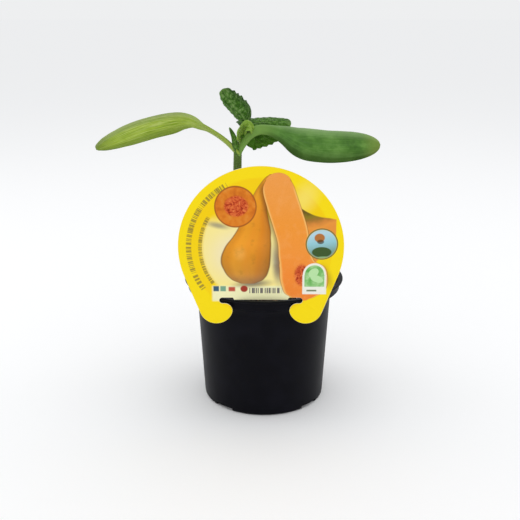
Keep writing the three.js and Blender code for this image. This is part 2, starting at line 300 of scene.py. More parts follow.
softbox("overhead softbox", (1.3, 1.0), (0.0, 0.35, 1.25), (0.0, 0.1, 0.0), 1.6)
softbox("left softbox", (0.5, 0.9), (-0.85, 0.15, 0.45), (0.0, 0.0, 0.1), 0.8)
softbox("right softbox", (0.5, 0.9), (0.85, 0.15, 0.45), (0.0, 0.0, 0.1), 0.6)
softbox("front softbox", (0.7, 0.4), (-0.15, -1.1, 0.8), (0.0, 0.0, 0.1), 0.8)

# %% [markdown]
# ## Nursery pot
#
# The real pot is blown or injection moulded from recycled polypropylene, under a millimetre
# thick: a tapered wall, a shoulder that steps out to a plain band, and a small rolled lip. It
# stands on a ring of four feet with gaps between them, which drain the holes in its floor.
#
# Such a shape is one profile turned about an axis. The profile is typed as corners, each with
# its own rounding, and a Geometry Nodes tree turns it, then takes the foot gaps and the drain
# holes out of it. The tree keeps the number of sides, the width of the gaps and the radius of
# the holes as inputs.

# %% Sizes of the pot
POT_HEIGHT = 83.2
LIP_RADIUS = 52.5
BAND_RADIUS = 50.3
WALL_TOP_RADIUS = 44.4
WALL_TOP = 71.2
BASE_RADIUS = 40.4
POT_WALL = 0.9
FOOT_HEIGHT = 2.4
FOOT_WIDTH = 6.0
INNER_FLOOR = FOOT_HEIGHT + POT_WALL
LIP_BOTTOM = 81.7
DRAIN_RINGS = ((27, 8), (15, 4))  # the radius of each ring, and how many holes it has


def wall_radius(z):
    return BASE_RADIUS + (WALL_TOP_RADIUS - BASE_RADIUS) * z / WALL_TOP


def rounded(corners, steps=4):
    """The points of an outline whose corners (x, y, radius) are rounded by that radius."""
    points = []
    for i, (x, y, radius) in enumerate(corners):
        here = np.array([x, y])
        if radius == 0 or i in (0, len(corners) - 1):
            points.append(here)
            continue
        arms = [np.array(corners[j][:2]) - here for j in (i - 1, i + 1)]
        reach = min(radius, 0.45 * min(np.linalg.norm(arm) for arm in arms))
        start, end = (here + arm / np.linalg.norm(arm) * reach for arm in arms)
        for t in np.linspace(0, 1, steps + 1):
            points.append(start * (1 - t) ** 2 + here * 2 * t * (1 - t) + end * t**2)
    return np.array(points)


# %% Profile of the pot, from the axis under the base round to the axis on the floor
wall_foot = BASE_RADIUS - FOOT_WIDTH
inner_top = wall_radius(WALL_TOP) - POT_WALL
pot_corners = [
    (0, 0.0, 0),
    (8, 0.0, 0.5),
    (8, FOOT_HEIGHT, 0.4),
    (wall_foot, FOOT_HEIGHT, 0.4),
    (wall_foot, 0.0, 0.5),
    (BASE_RADIUS, 0.0, 2.2),
    (wall_radius(24), 24, 0),
    (wall_radius(48), 48, 0),
    (WALL_TOP_RADIUS, WALL_TOP, 1.2),
    (WALL_TOP_RADIUS + 1.3, 75.0, 2.4),
    (BAND_RADIUS, 76.5, 0.9),
    (BAND_RADIUS, LIP_BOTTOM, 0.3),
    (LIP_RADIUS - 0.3, LIP_BOTTOM + 0.05, 0.5),
    (LIP_RADIUS, 82.6, 0.4),
    (LIP_RADIUS - 0.3, POT_HEIGHT, 0.4),
    (BAND_RADIUS - POT_WALL, POT_HEIGHT, 0.5),
    (BAND_RADIUS - POT_WALL, 77.3, 0.9),
    (WALL_TOP_RADIUS + 0.4, 75.9, 2.4),
    (inner_top, WALL_TOP + 0.7, 1.2),
    (wall_radius(INNER_FLOOR) - POT_WALL, INNER_FLOOR, 1.2),
    (0, INNER_FLOOR, 0),
]
pot_profile = rounded(pot_corners)
print("profile points:", len(pot_profile))


# %% Tree: turn a profile and cut the gaps and holes
def ring_of(tree, shape, radius, count, turn, height):
    """Copies of a shape on a circle, each turned to face outwards."""
    spots = add(tree, "GeometryNodePoints", {"Count": count})
    index = Number(add(tree, "GeometryNodeInputIndex").outputs[0])
    angle = (index + 0.5) * math.tau / count + turn
    across = angle.math("COSINE") * radius
    along = angle.math("SINE") * radius
    where = add(tree, "ShaderNodeCombineXYZ", {"X": across, "Y": along, "Z": height})
    placed = add(tree, "GeometryNodeSetPosition", {"Geometry": spots, "Position": where})
    facing = add(tree, "ShaderNodeCombineXYZ", {"Z": angle})
    copies = {"Points": placed, "Instance": shape, "Rotation": facing}
    made = add(tree, "GeometryNodeInstanceOnPoints", copies)
    return add(tree, "GeometryNodeRealizeInstances", {"Geometry": made})


tree, given = geometry_tree(
    "turned pot",
    Path_radius=("Float", 40 * MM),
    Sides=("Int", 192),
    Foot_gap=("Float", 14.5 * MM),
    Hole_radius=("Float", 2.8 * MM),
    Plastic=("Material", None),
)
outline = add(tree, "GeometryNodeMeshToCurve", {"Mesh": given["Geometry"]})
circle = {"Resolution": given["Sides"], "Radius": given["Path_radius"]}
circle = add(tree, "GeometryNodeCurvePrimitiveCircle", circle)
turned = add(tree, "GeometryNodeCurveToMesh", {"Curve": circle, "Profile Curve": outline})
closed = add(tree, "GeometryNodeMergeByDistance", {"Geometry": turned, "Distance": 0.01 * MM})

GAP_LENGTH = 16.0  # along the radius, so that it passes the foot on both sides
gap_depth = FOOT_HEIGHT + 1
gap_size = {"X": GAP_LENGTH * MM, "Y": given["Foot_gap"], "Z": gap_depth * MM}
gap = add(tree, "GeometryNodeMeshCube", {"Size": add(tree, "ShaderNodeCombineXYZ", gap_size)})
gap_radius = (BASE_RADIUS - FOOT_WIDTH / 2) * MM
gap_turn = math.radians(-86)
gaps = ring_of(tree, gap, gap_radius, 4, gap_turn, (FOOT_HEIGHT - gap_depth / 2) * MM)

drill = {"Vertices": 24, "Radius": given["Hole_radius"], "Depth": 3 * MM}
drill = add(tree, "GeometryNodeMeshCylinder", drill).outputs["Mesh"]
cutters = [gaps]
for radius, holes in DRAIN_RINGS:
    cutters.append(ring_of(tree, drill, radius * MM, holes, 0.0, INNER_FLOOR * MM))
all_cutters = add(tree, "GeometryNodeJoinGeometry")
for cutter in cutters:
    tree.links.new(cutter.outputs[0], all_cutters.inputs[0])
cut = {"Mesh 1": closed, "Mesh 2": all_cutters}
cut = add(tree, "GeometryNodeMeshBoolean", cut, operation="DIFFERENCE", solver="EXACT")
finished = add(tree, "GeometryNodeSetMaterial", {"Geometry": cut, "Material": given["Plastic"]})
realised = add(tree, "GeometryNodeRealizeInstances", {"Geometry": finished})
add(tree, "NodeGroupOutput", {"Geometry": realised})
turned_pot = tree

# %% [markdown]
# ### Recycled polypropylene
#
# Nursery pots are moulded from regrind coloured with carbon black. The plastic comes out a deep,
# faintly bluish black with a satin skin: the mould gives it a fine even texture, and dust and
# handling leave faint paler smudges. Polypropylene has an IOR of 1.49. Grain of about 0.3 mm
# makes the texture, and the smudges are some 15 mm across.

# %% Material: recycled polypropylene, moulded
pot_plastic, tree, place = new_material("recycled black polypropylene")
smudge = add(tree, "ShaderNodeTexNoise", {"Vector": place, "Scale": 65.0, "Detail": 4.0})
smudge = Number(smudge.outputs[0])
grain = add(tree, "ShaderNodeTexNoise", {"Vector": place, "Scale": 3300.0, "Detail": 2.0})
tone = Layers(tree, srgb("#04040B")).lay(srgb("#0A0A13"), smudge.step(0.42, 0.75)).colour
bump = add(tree, "ShaderNodeBump", {"Strength": 0.12, "Distance": 0.05 * MM, "Height": grain})
surface(tree, tone, smudge * 0.16 + 0.36, 1.49, bump, specular=0.085)

# %% Make the pot
PATH_RADIUS = 40  # the profile lies flat, this far in from the path that carries it round
lying = [(r - PATH_RADIUS, -z, 0) for r, z in pot_profile]
edges = [(i, i + 1) for i in range(len(lying) - 1)]
pot = new_piece("moulded_pot", lying, [], edges=edges)
run_tree(pot, turned_pot, Plastic=pot_plastic, Path_radius=PATH_RADIUS * MM)
outward(pot, crease=35)
hand_over(pot, "nursery_pot")

# %% [markdown]
# ## Potting mix
#
# The pot holds a peat and bark mix, a little below the rim and slightly mounded round the stem:
# dark damp crumbs of up to 2 mm, short pale fibres of bark and coir, and a few white grains of
# perlite. Its body is a closed solid whose top is roughened with noise. Crumbs, fibres and
# grains all repeat, so a Geometry Nodes tree scatters them over that top from fixed seeds.

# %% Body of the mix
MIX_EDGE = 71.0
MIX_RISE = 1.6
MIX_RINGS = 80
MIX_SPOKES = 200
WALL_SPARE = 0.35
mix_radius = wall_radius(MIX_EDGE) - POT_WALL - WALL_SPARE
mix_bottom = INNER_FLOOR + 0.3
narrowing = 0.905  # of the mix, from its top to its bottom

points = [(0, 0, MIX_EDGE + MIX_RISE)]
for ring in range(1, MIX_RINGS + 1):
    share = ring / MIX_RINGS
    for spoke in range(MIX_SPOKES):
        angle = math.tau * spoke / MIX_SPOKES
        x, y = (mix_radius * share * turn(angle) for turn in (math.cos, math.sin))
        lumps = noise.fractal(Vector((x, y, 3)) / 5, 0.9, 2.0, 5)
        rise = MIX_RISE * math.cos(share * math.pi / 2) + 0.9 * lumps * min(1, 6 * (1 - share))
        points.append((x, y, MIX_EDGE + rise))
faces = [(0, 1 + s, 1 + (s + 1) % MIX_SPOKES) for s in range(MIX_SPOKES)]
bottom_ring = [(x * narrowing, y * narrowing, mix_bottom) for x, y, z in points[-MIX_SPOKES:]]
points += bottom_ring
for ring in range(MIX_RINGS):
    first = 1 + ring * MIX_SPOKES
    for s in range(MIX_SPOKES):
        t = (s + 1) % MIX_SPOKES
        faces.append((first + s, first + MIX_SPOKES + s, first + MIX_SPOKES + t, first + t))
faces.append(list(range(len(points) - MIX_SPOKES, len(points)))[::-1])
mix = new_piece("potting_mix_body", points, faces)

# %% Materials: damp peat, bark fibre and perlite
peat, tree, place = new_material("damp peat and composted bark")
clods = {"Vector": place, "Scale": 700.0, "Detail": 6.0, "Roughness": 0.7}
clods = Number(add(tree, "ShaderNodeTexNoise", clods).outputs[0])
tone = ramp_of(tree, clods, ["#17100B", "#4B3628"], 0.3, 0.72)
bump = add(tree, "ShaderNodeBump", {"Strength": 0.7, "Distance": 0.5 * MM, "Height": clods})
surface(tree, tone, 0.93, 1.4, bump)

fibre, tree, place = new_material("bark and coir fibre")
age = add(tree, "ShaderNodeTexNoise", {"Vector": place, "Scale": 260.0})
surface(tree, Layers(tree, srgb("#5A3D26")).lay(srgb("#A98558"), age).colour, 0.8, 1.5)

perlite, tree, place = new_material("expanded perlite")
pores = add(tree, "ShaderNodeTexVoronoi", {"Vector": place, "Scale": 2500.0})
tone = Layers(tree, srgb("#C9C4B8")).lay(srgb("#EFECE4"), pores).colour
bump = add(tree, "ShaderNodeBump", {"Strength": 0.6, "Distance": 0.2 * MM, "Height": pores})
surface(tree, tone, 0.9, 1.5, bump)


# %% Tree: scatter crumbs, fibres and grains
REACH_SPARE = 0.3  # how far past the mix's edge a copy may reach, short of the wall


def scattered(tree, top, out, shape, density, seed, least, most, material):
    """Copies of a shape strewn over the top, each turned and stretched at random.

    out is how far each spot lies from the pot's axis. Spots so near the wall that a copy could
    reach into it are left out.
    """
    spots = {"Mesh": top, "Density": density, "Seed": seed}
    spots = add(tree, "GeometryNodeDistributePointsOnFaces", spots)
    near_wall = out.math("GREATER_THAN", (mix_radius - max(most) / 2 + REACH_SPARE) * MM)
    spots = {"Geometry": spots.outputs["Points"], "Selection": near_wall}
    spots = add(tree, "GeometryNodeDeleteGeometry", spots, domain="POINT")
    turn = {"Min": (0.0, 0.0, 0.0), "Max": (math.tau, math.tau, math.tau), "Seed": seed + 1}
    turn = add(tree, "FunctionNodeRandomValue", turn, data_type="FLOAT_VECTOR")
    size = {"Min": least, "Max": most, "Seed": seed + 2}
    size = add(tree, "FunctionNodeRandomValue", size, data_type="FLOAT_VECTOR")
    copies = {"Points": spots, "Instance": shape, "Rotation": turn, "Scale": size}
    made = add(tree, "GeometryNodeInstanceOnPoints", copies)
    made = add(tree, "GeometryNodeRealizeInstances", {"Geometry": made})
    return add(tree, "GeometryNodeSetMaterial", {"Geometry": made, "Material": material})


tree, given = geometry_tree(
    "strewn mix",
    Crumbs=("Float", 380000.0),
    Fibres=("Float", 26000.0),
    Grains=("Float", 9000.0),
    Peat=("Material", None),
    Fibre=("Material", None),
    Perlite=("Material", None),
)
place = add(tree, "ShaderNodeSeparateXYZ", {"Vector": add(tree, "GeometryNodeInputPosition")})
x, y, z = (Number(place.outputs[axis]) for axis in "XYZ")
out = (x * x + y * y).math("SQRT")
above = z.math("GREATER_THAN", (MIX_EDGE - 2) * MM)
top = {"Geometry": given["Geometry"], "Selection": above}
top = add(tree, "GeometryNodeSeparateGeometry", top, domain="FACE")
crumb = add(tree, "GeometryNodeMeshIcoSphere", {"Radius": 0.5 * MM, "Subdivisions": 1})
stick = {"Vertices": 5, "Radius Top": 0.5 * MM, "Radius Bottom": 0.35 * MM, "Depth": 1 * MM}
stick = add(tree, "GeometryNodeMeshCone", stick)
grit = add(tree, "GeometryNodeMeshIcoSphere", {"Radius": 0.5 * MM, "Subdivisions": 2})
crumb_sizes = (0.5, 0.6, 0.4), (2.3, 2.8, 1.9)
fibre_sizes = (0.3, 0.3, 2.0), (0.9, 0.7, 7.0)
grain_sizes = (1.2, 1.0, 1.0), (2.6, 2.2, 2.4)
strewn = [
    scattered(tree, top, out, crumb, given["Crumbs"], 3, *crumb_sizes, given["Peat"]),
    scattered(tree, top, out, stick, given["Fibres"], 11, *fibre_sizes, given["Fibre"]),
    scattered(tree, top, out, grit, given["Grains"], 19, *grain_sizes, given["Perlite"]),
    add(
        tree, "GeometryNodeSetMaterial", {"Geometry": given["Geometry"], "Material": given["Peat"]}
    ),
]
joined = add(tree, "GeometryNodeJoinGeometry")
for part in strewn:
    tree.links.new(part.outputs[0], joined.inputs[0])
realised = add(tree, "GeometryNodeRealizeInstances", {"Geometry": joined})
add(tree, "NodeGroupOutput", {"Geometry": realised})
strewn_mix = tree

# %% Make the potting mix
run_tree(mix, strewn_mix, Peat=peat, Fibre=fibre, Perlite=perlite)
outward(mix, crease=60)
hand_over(mix, "potting_mix")

# %% [markdown]
# ## Taproot
#
# The root runs down inside the mix, where nothing shows it. The CAD node keeps its shape and
# gets the skin of a young root: off-white, matt and faintly mottled.

# %% Material: young root, on the CAD node
root_skin, tree, place = new_material("young root skin")
mottle = add(tree, "ShaderNodeTexNoise", {"Vector": place, "Scale": 800.0, "Detail": 3.0})
surface(tree, Layers(tree, srgb("#B7A983")).lay(srgb("#E0D7BC"), mottle).colour, 0.75, 1.4)
for material_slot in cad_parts["taproot"].material_slots:
    material_slot.material = root_skin

# %% [markdown]
# ## Picture label: the plate
#
# The label is die-cut from white polypropylene sheet half a millimetre thick. Its outline
# follows a rule: a disc, cut straight where it rests on the rim, and two hooks that reach down
# over the lip, joined to the disc by the straight lines that touch both circles. Between each
# hook and the cut edge a round-ended slot takes the lip. The plate is made from that rule, with
# fine steps on every arc, and the cut edges get a slight round as a worn die leaves it.

# %% Outline of the label
CLEARANCE = 0.3
LABEL_RADIUS = 49.5
LABEL_SHIFT = -1.7
LABEL_CUT = 16.8
LABEL_THICKNESS = 0.5
LABEL_PLANE = 1.9 - BAND_RADIUS
TAB_HALF_WIDTH = 15.9
HOOK_RADIUS = 10.3
HOOK_TIP_RADIUS = 4.8
HOOK_TIP_ANGLE = math.radians(201)
HOOK_SPARE = 2.0  # from the band to the nearest edge of a hook
HOOK_TIP_TOP = LIP_BOTTOM - 0.5
SLOT_SPARE = 3.3  # beyond where the lip passes through the slot
SLOT_HEADROOM = 1.7  # above the lip
disc_z = POT_HEIGHT + CLEARANCE + LABEL_RADIUS - LABEL_CUT


def arc(centre, radius, start, end, steps):
    angles = np.linspace(start, end, steps + 1)
    turned = np.stack([np.cos(angles), np.sin(angles)], axis=1)
    return list(np.asarray(centre) + radius * turned)


def crossing(radius):
    """How far out along the label a circle of the rim crosses it."""
    return math.sqrt(radius**2 - LABEL_PLANE**2) + abs(LABEL_SHIFT)


rest = POT_HEIGHT + CLEARANCE
tip = np.array([crossing(BAND_RADIUS) + HOOK_SPARE, HOOK_TIP_TOP])
tip += (HOOK_TIP_RADIUS, -HOOK_TIP_RADIUS)
towards_tip = np.array([math.cos(HOOK_TIP_ANGLE), math.sin(HOOK_TIP_ANGLE)])
hook = tip - (HOOK_RADIUS - HOOK_TIP_RADIUS) * towards_tip
drop = math.atan2(hook[1] - disc_z, hook[0])
side = drop + math.acos((LABEL_RADIUS - HOOK_RADIUS) / math.hypot(hook[0], disc_z - hook[1]))
slot_low, slot_high = HOOK_TIP_TOP, POT_HEIGHT + SLOT_HEADROOM
slot_radius = (slot_high - slot_low) / 2
slot_end = (crossing(LIP_RADIUS) + SLOT_SPARE - slot_radius, slot_low + slot_radius)
half_outline = [
    *arc((0, disc_z), LABEL_RADIUS, math.pi / 2, side, 90),
    *arc(hook, HOOK_RADIUS, side, HOOK_TIP_ANGLE - math.tau, 36),
    *arc(tip, HOOK_TIP_RADIUS, HOOK_TIP_ANGLE, math.pi / 2, 16),
    *arc(slot_end, slot_radius, -math.pi / 2, math.pi / 2, 14),
    *arc((TAB_HALF_WIDTH + 1.4, slot_high - 0.6), 0.6, math.pi / 2, math.pi, 4),
    *arc((TAB_HALF_WIDTH + 0.3, rest + 0.3), 0.3, 0, -math.pi / 2, 4),
]
right_half = np.array(half_outline)
left_half = (right_half[1:] * (-1, 1))[::-1]
label_outline = np.concatenate([right_half, left_half]) + (LABEL_SHIFT, 0)
print("label outline points:", len(label_outline), "hook at", hook.round(1))

# %% [markdown]
# ## Picture label: the print
#
# The front is printed offset: a lemon-yellow ground with a paler rim, a cream light patch, and
# a still life of butternut squashes: a slice, a whole fruit, one cut in half and one behind.
# All of it is painted by the shader from the place on the label, x to the right and z up in
# millimetres from the middle of the disc, so it stays sharp at any distance. Each ink is laid
# over the last through a mask. The fruits' outlines are two Float Curves each: the middle and
# the half width at every height. Lettering and marks are left out: plain dashes and plain
# badges stand where the real label has them.


# %% Masks and outlines
def oval(x, z, centre, size, soft, turn=0.0):
    """1 inside an ellipse and 0 outside. soft is the width of its edge, as a share of its size."""
    c, s = math.cos(math.radians(turn)), math.sin(math.radians(turn))
    across, up = x - centre[0], z - centre[1]
    along = (across * c + up * s) / size[0]
    aside = (up * c - across * s) / size[1]
    reach = (along * along + aside * aside).math("SQRT")
    return reach.step(1, 1 - soft)


def block(x, z, left, right, bottom, top, soft=0.4):
    across = x.step(left - soft, left + soft) * x.step(right + soft, right - soft)
    return across * z.step(bottom - soft, bottom + soft) * z.step(top + soft, top - soft)


def curve_of(tree, height, rows, column, span):
    """A Float Curve through one column of the rows, read at a height."""
    bottom, top = rows[0][0], rows[-1][0]
    share = (height - bottom) / (top - bottom)
    node = add(tree, "ShaderNodeFloatCurve", {"Value": share})
    points = node.mapping.curves[0].points
    for i, row in enumerate(rows):
        at = ((row[0] - bottom) / (top - bottom), (row[column] - span[0]) / (span[1] - span[0]))
        if i in (0, len(rows) - 1):
            points[min(i, 1)].location = at
        else:
            points.new(*at)
    node.mapping.update()
    return Number(node.outputs[0]) * (span[1] - span[0]) + span[0]


def fruit(tree, x, z, rows, soft=0.5):
    """How far a place is across a fruit, -1 to 1, and the mask of the fruit."""
    first, last = rows[0], rows[-1]
    guarded = [(first[0] - 1, *first[1:]), *rows, (last[0] + 1, *last[1:])]
    middle = curve_of(tree, z, guarded, 1, (-20, 30))
    half = curve_of(tree, z, guarded, 2, (0, 16))
    across = (x - middle) / half.math("MAXIMUM", 0.1)
    inside = ((x - middle).math("ABSOLUTE") - half).step(soft, -soft)
    ends = z.step(first[0], first[0] + 0.3) * z.step(last[0], last[0] - 0.3)
    return across, inside * ends


# %% Ground: yellow, its rim, and the light behind the fruit
printed, tree, place = new_material("offset print on white polypropylene sheet")
apart = add(tree, "ShaderNodeSeparateXYZ", {"Vector": place})
x = Number(apart.outputs["X"]) / MM - LABEL_SHIFT
z = Number(apart.outputs["Z"]) / MM - disc_z
radius = (x * x + z * z).math("SQRT")
left_turn = z.math("ARCTAN2", x * -1) * (180 / math.pi)

mottle = {"Vector": place, "Scale": 260.0, "Detail": 4.0}
mottle = Number(add(tree, "ShaderNodeTexNoise", mottle).outputs[0])
fine = {"Vector": place, "Scale": 1500.0, "Detail": 2.0}
fine = Number(add(tree, "ShaderNodeTexNoise", fine).outputs[0])
art = Layers(tree, ramp_of(tree, z, ["#FBD608", "#FBD708", "#FAD202", "#FBD30A"], -34, 49))
art.lay(srgb("#FDE00A"), radius.step(41.6, 43.6))
cream = radius.step(36.5, 33.5) * z.step(22, 12) * x.step(26, 16)
art.lay(srgb("#FDEC96"), cream)
art.lay(srgb("#F5E8C6"), oval(x, z, (-14, -4), (24, 22), 0.9) * 0.9)
art.lay(srgb("#FCE468"), oval(x, z, (25, 30), (11, 18), 0.95, -35) * 0.85)
art.lay(srgb("#F6F3C0"), block(x, z, -29.5, 17.5, -33.5, -23.8, 0.8))
art.lay(srgb("#8E8878"), oval(x, z, (-25.5, 14), (10, 2.8), 0.9, -12) * 0.75)
art.lay(srgb("#9A9689"), oval(x, z, (9.5, -10), (4.5, 19), 0.9, 6) * 0.8)
art.lay(srgb("#857A6A"), oval(x, z, (-5, -22.3), (16, 3.6), 0.9, 4) * 0.9)

# %% The fruit behind, on the right
BEHIND_TOP = [
    (21, 26.5, 0), (24, 24.2, 0), (29, 21.3, 0), (34.8, 19.3, 0), (40, 18.6, 0), (46, 18.4, 0)
]
edge = curve_of(tree, x, BEHIND_TOP, 1, (10, 30))
depth = edge - z
behind = depth.step(-0.4, 0.4) * x.step(21.5, 22.5) * x.step(44.8, 44.1)
behind = behind * (z + 16 - (x - 27).math("MAXIMUM", 0) * 1.25).step(-1, 1)
skin = depth + (x - 31) * 0.5 + mottle * 3
art.lay(
    ramp_of(tree, skin, ["#6D5A1C", "#8E7A1E", "#A2752C", "#D98A3A", "#EE9A3E", "#EC953C"], 0, 12),
    behind,
)
art.lay(srgb("#C0A21A"), oval(x, z, (39.5, -18), (5, 12), 0.9, 20) * 0.7)

# %% The whole fruit
WHOLE = [
    (-22.4, -8.0, 0.6), (-21.6, -8.0, 5.6), (-19.1, -8.2, 10.2), (-13.8, -8.8, 13.5),
    (-7.8, -9.2, 14.9),
    (-0.4, -8.0, 14.0), (6.9, -5.5, 11.4), (10.6, -4.3, 10.2), (17.8, -3.2, 7.7), (25.0, -2.0, 5.4),
    (32.1, -0.6, 4.0), (39.1, 2.5, 2.9), (43.2, 4.8, 1.8), (44.9, 6.0, 0.8),
]
across, mask = fruit(tree, x, z, WHOLE)
round_side = [
    "#C08A2E", "#D88E22", "#EFA52C", "#EBA12A", "#EA9829", "#E39626", "#D27F20", "#B5722C",
    "#7E501C",
]
by_height = [
    "#B88C60", "#BF8032", "#DE8C1E", "#FC9E28", "#EA8F16", "#F0921E", "#F29F16", "#E09120",
    "#BC7D14",
]
skin = Layers(tree, ramp_of(tree, across, round_side))
skin.lay(ramp_of(tree, z, by_height, -22.4, 44.9), 0.45)
skin.lay(srgb("#F7B455"), oval(x, z, (-12.5, -3.5), (5.5, 6.5), 1.0) * 0.55)
skin.lay(srgb("#8D6B4A"), z.step(-15.5, -22) * 0.55)
skin.lay(srgb("#9A6A1C"), mottle.step(0.55, 0.8) * 0.3)
art.lay(srgb("#6F4A22"), mask)
art.lay(skin.colour, mask * (across.math("ABSOLUTE").step(1.02, 0.9)))

# %% The slice
SLICE = (-15.0, 25.3)
flesh = Layers(tree, ramp_of(tree, mottle, ["#CC6A16", "#E07F1E", "#E58E30"], 0.3, 0.7))
flesh.lay(srgb("#B95F14"), 1 - oval(x, z, SLICE, (12.6, 12.6), 0.1))
swirl = {"Vector": place, "Scale": 420.0, "Detail": 5.0, "Distortion": 1.6}
swirl = Number(add(tree, "ShaderNodeTexNoise", swirl).outputs[0])
pulp = ramp_of(tree, swirl, ["#8A260C", "#B83A12", "#D25A2C", "#E27034", "#EE9858"], 0.3, 0.72)
flesh.lay(pulp, oval(x, z, (-14.6, 25.6), (8.0, 7.0), 0.22))
art.lay(srgb("#A65B1E"), oval(x, z, SLICE, (12.8, 12.9), 0.05))
art.lay(flesh.colour, oval(x, z, SLICE, (12.2, 12.2), 0.06))

# %% The halved fruit
HALVED = [
    (-33.2, 24.8, 0.6), (-32.4, 24.9, 3.6), (-30.5, 25.1, 7.9), (-25.2, 26.1, 13.3),
    (-19.1, 25.8, 14.5),
    (-11.6, 24.6, 13.7), (-7.8, 21.4, 10.6), (3.2, 19.5, 9.7), (13.5, 17.1, 10.2),
    (25.0, 13.5, 10.1),
    (35.6, 10.5, 9.5), (39.5, 10.1, 8.2), (41.5, 10.0, 7.2),
]
across, mask = fruit(tree, x, z, HALVED)
neck_end = oval(x, z, (10.1, 38.6), (8.2, 7.2), 0.06)
mask = mask.math("MAXIMUM", neck_end)
face = Layers(
    tree,
    ramp_of(tree, z, ["#F68832", "#F88E34", "#F7983A", "#F69A36", "#F59E44", "#F5A04C"], -33, 45),
)
face.lay(srgb("#F9AC62"), mottle.step(0.45, 0.75) * 0.3)
face.lay(srgb("#E0862C"), fine.step(0.5, 0.75) * 0.35)
face.lay(srgb("#FBBE68"), across.math("ABSOLUTE").step(0.84, 0.95) * z.step(39, 34))
face.lay(pulp, oval(x, z, (24.4, -16.8), (5.2, 8.0), 0.35))
cast = across.step(-1.35, -1.0) * across.step(-0.8, -0.95) * z.step(-24, -12) * z.step(42, 36)
art.lay(srgb("#6E3A12"), cast * 0.6)
art.lay(srgb("#9C5A1E"), mask)
neck_face = oval(x, z, (10.1, 38.6), (7.7, 6.7), 0.06)
inside = across.math("ABSOLUTE").step(1.0, 0.96).math("MAXIMUM", neck_face)
art.lay(face.colour, mask * inside)

# %% Badges, dashes and blocks in place of marks and lettering
BADGE = (36.2, 2.6)
badge = Layers(
    tree, ramp_of(tree, z - x * 0.15, ["#7FA59A", "#98CDD8", "#B9D9E6", "#A9CBC6"], -8, 10)
)
badge.lay(srgb("#3F5A2C"), oval(x, z, (36.2, -2.4), (6.2, 3.4), 0.12))
badge.lay(srgb("#B9743A"), oval(x, z, (34.8, 6.4), (3.4, 3.0), 0.2))
badge.lay(srgb("#4A3A20"), oval(x, z, (35.4, 4.0), (2.4, 1.6), 0.3) * 0.8)
badge.lay(srgb("#8FB27E"), oval(x, z, (37.6, -6.2), (6.0, 1.4), 0.4))
badge.lay(srgb("#C3A13C"), 1 - oval(x, z, BADGE, (8.9, 8.9), 0.02))
art.lay(srgb("#5E6B42"), oval(x, z, BADGE, (9.8, 9.8), 0.03))
art.lay(badge.colour, oval(x, z, BADGE, (9.3, 9.3), 0.04))

arch = oval(x, z, (32.2, -16.6), (7.2, 7.5), 0.05)
arch = arch.math("MAXIMUM", block(x, z, 25.0, 39.4, -29, -16.6, 0.3))
leaf_shapes = oval(x, z, (31.6, -15.4), (3.6, 2.6), 0.1, 40)
leaf_shapes = leaf_shapes.math("MAXIMUM", oval(x, z, (33.6, -19.2), (4.2, 2.2), 0.1, -20))
art.lay(srgb("#F3F3E6"), arch)
inner = oval(x, z, (32.2, -16.6), (6.0, 6.2), 0.06)
inner = inner.math("MAXIMUM", block(x, z, 26.2, 38.2, -24.2, -16.6, 0.3))
art.lay(ramp_of(tree, mottle, ["#5FAE4E", "#8CC87A", "#BFE3A8"], 0.3, 0.7), inner)
art.lay(srgb("#BDE8AA"), leaf_shapes)
art.lay(srgb("#6E7C58"), block(x, z, 27.5, 33.5, -27.2, -26.2, 0.3))


def dashes(position, pitch, share, seed):
    """Dashes of uneven length along a line: 1 on a dash and 0 between."""
    wobble = {"W": position / (pitch * 1.7) + seed, "Detail": 2.0}
    wobble = add(tree, "ShaderNodeTexNoise", wobble, noise_dimensions="1D")
    phase = (position / pitch + Number(wobble.outputs[0]) * 2.2).math("FRACT")
    return phase.step(share + 0.08, share - 0.08)


TEXT_INK = srgb("#8F7A34")
outer_line = radius.step(41.2, 41.9) * radius.step(45.1, 44.4)
outer_line = outer_line * left_turn.step(-37, -36) * left_turn.step(63, 62)
inner_line = radius.step(34.9, 35.4) * radius.step(37.7, 37.2)
inner_line = inner_line * left_turn.step(-38, -37) * left_turn.step(32, 31)
art.lay(TEXT_INK, outer_line * dashes(left_turn, 3.1, 0.62, 4.0) * 0.85)
art.lay(TEXT_INK, inner_line * dashes(left_turn, 2.4, 0.66, 9.0) * 0.85)
art.lay(srgb("#3D5F78"), block(x, z, -28.8, -25.4, -27.2, -23.9, 0.3))
art.lay(srgb("#7CA98C"), block(x, z, -24.6, -21.2, -27.2, -23.9, 0.3))
art.lay(srgb("#C4533F"), block(x, z, -19.6, -15.6, -27.2, -24.4, 0.5))
art.lay(srgb("#A63A2A"), oval(x, z, (-10.2, -25.6), (2.6, 2.4), 0.3))
mark = block(x, z, -7.0, 12.8, -28.4, -25.0, 0.3)
art.lay(srgb("#3E3550"), mark * dashes(x, 2.6, 0.5, 2.0) * 0.9)

# %% [markdown]
# ### The sheet under the ink
#
# The ink lies on satin polypropylene, IOR 1.49, that a varnish makes slightly glossy. The back
# and the die-cut edge are bare sheet: white, with the faint grain of the extruder's roller.

# %% Finish the print, and the bare sheet
ripple = add(tree, "ShaderNodeTexNoise", {"Vector": place, "Scale": 40.0, "Detail": 1.0})
bump = add(tree, "ShaderNodeBump", {"Strength": 0.05, "Distance": 0.3 * MM, "Height": ripple})
surface(tree, art.colour, 0.42, 1.49, bump, specular=0.15)
print("print shader nodes:", len(tree.nodes))

bare_sheet, tree, place = new_material("bare white polypropylene sheet")
grain = add(tree, "ShaderNodeTexNoise", {"Vector": place, "Scale": 2400.0, "Detail": 2.0})
tone = Layers(tree, srgb("#E9E7DE")).lay(srgb("#F4F2EA"), grain).colour
bump = add(tree, "ShaderNodeBump", {"Strength": 0.08, "Distance": 0.05 * MM, "Height": grain})
surface(tree, tone, 0.5, 1.49, bump)

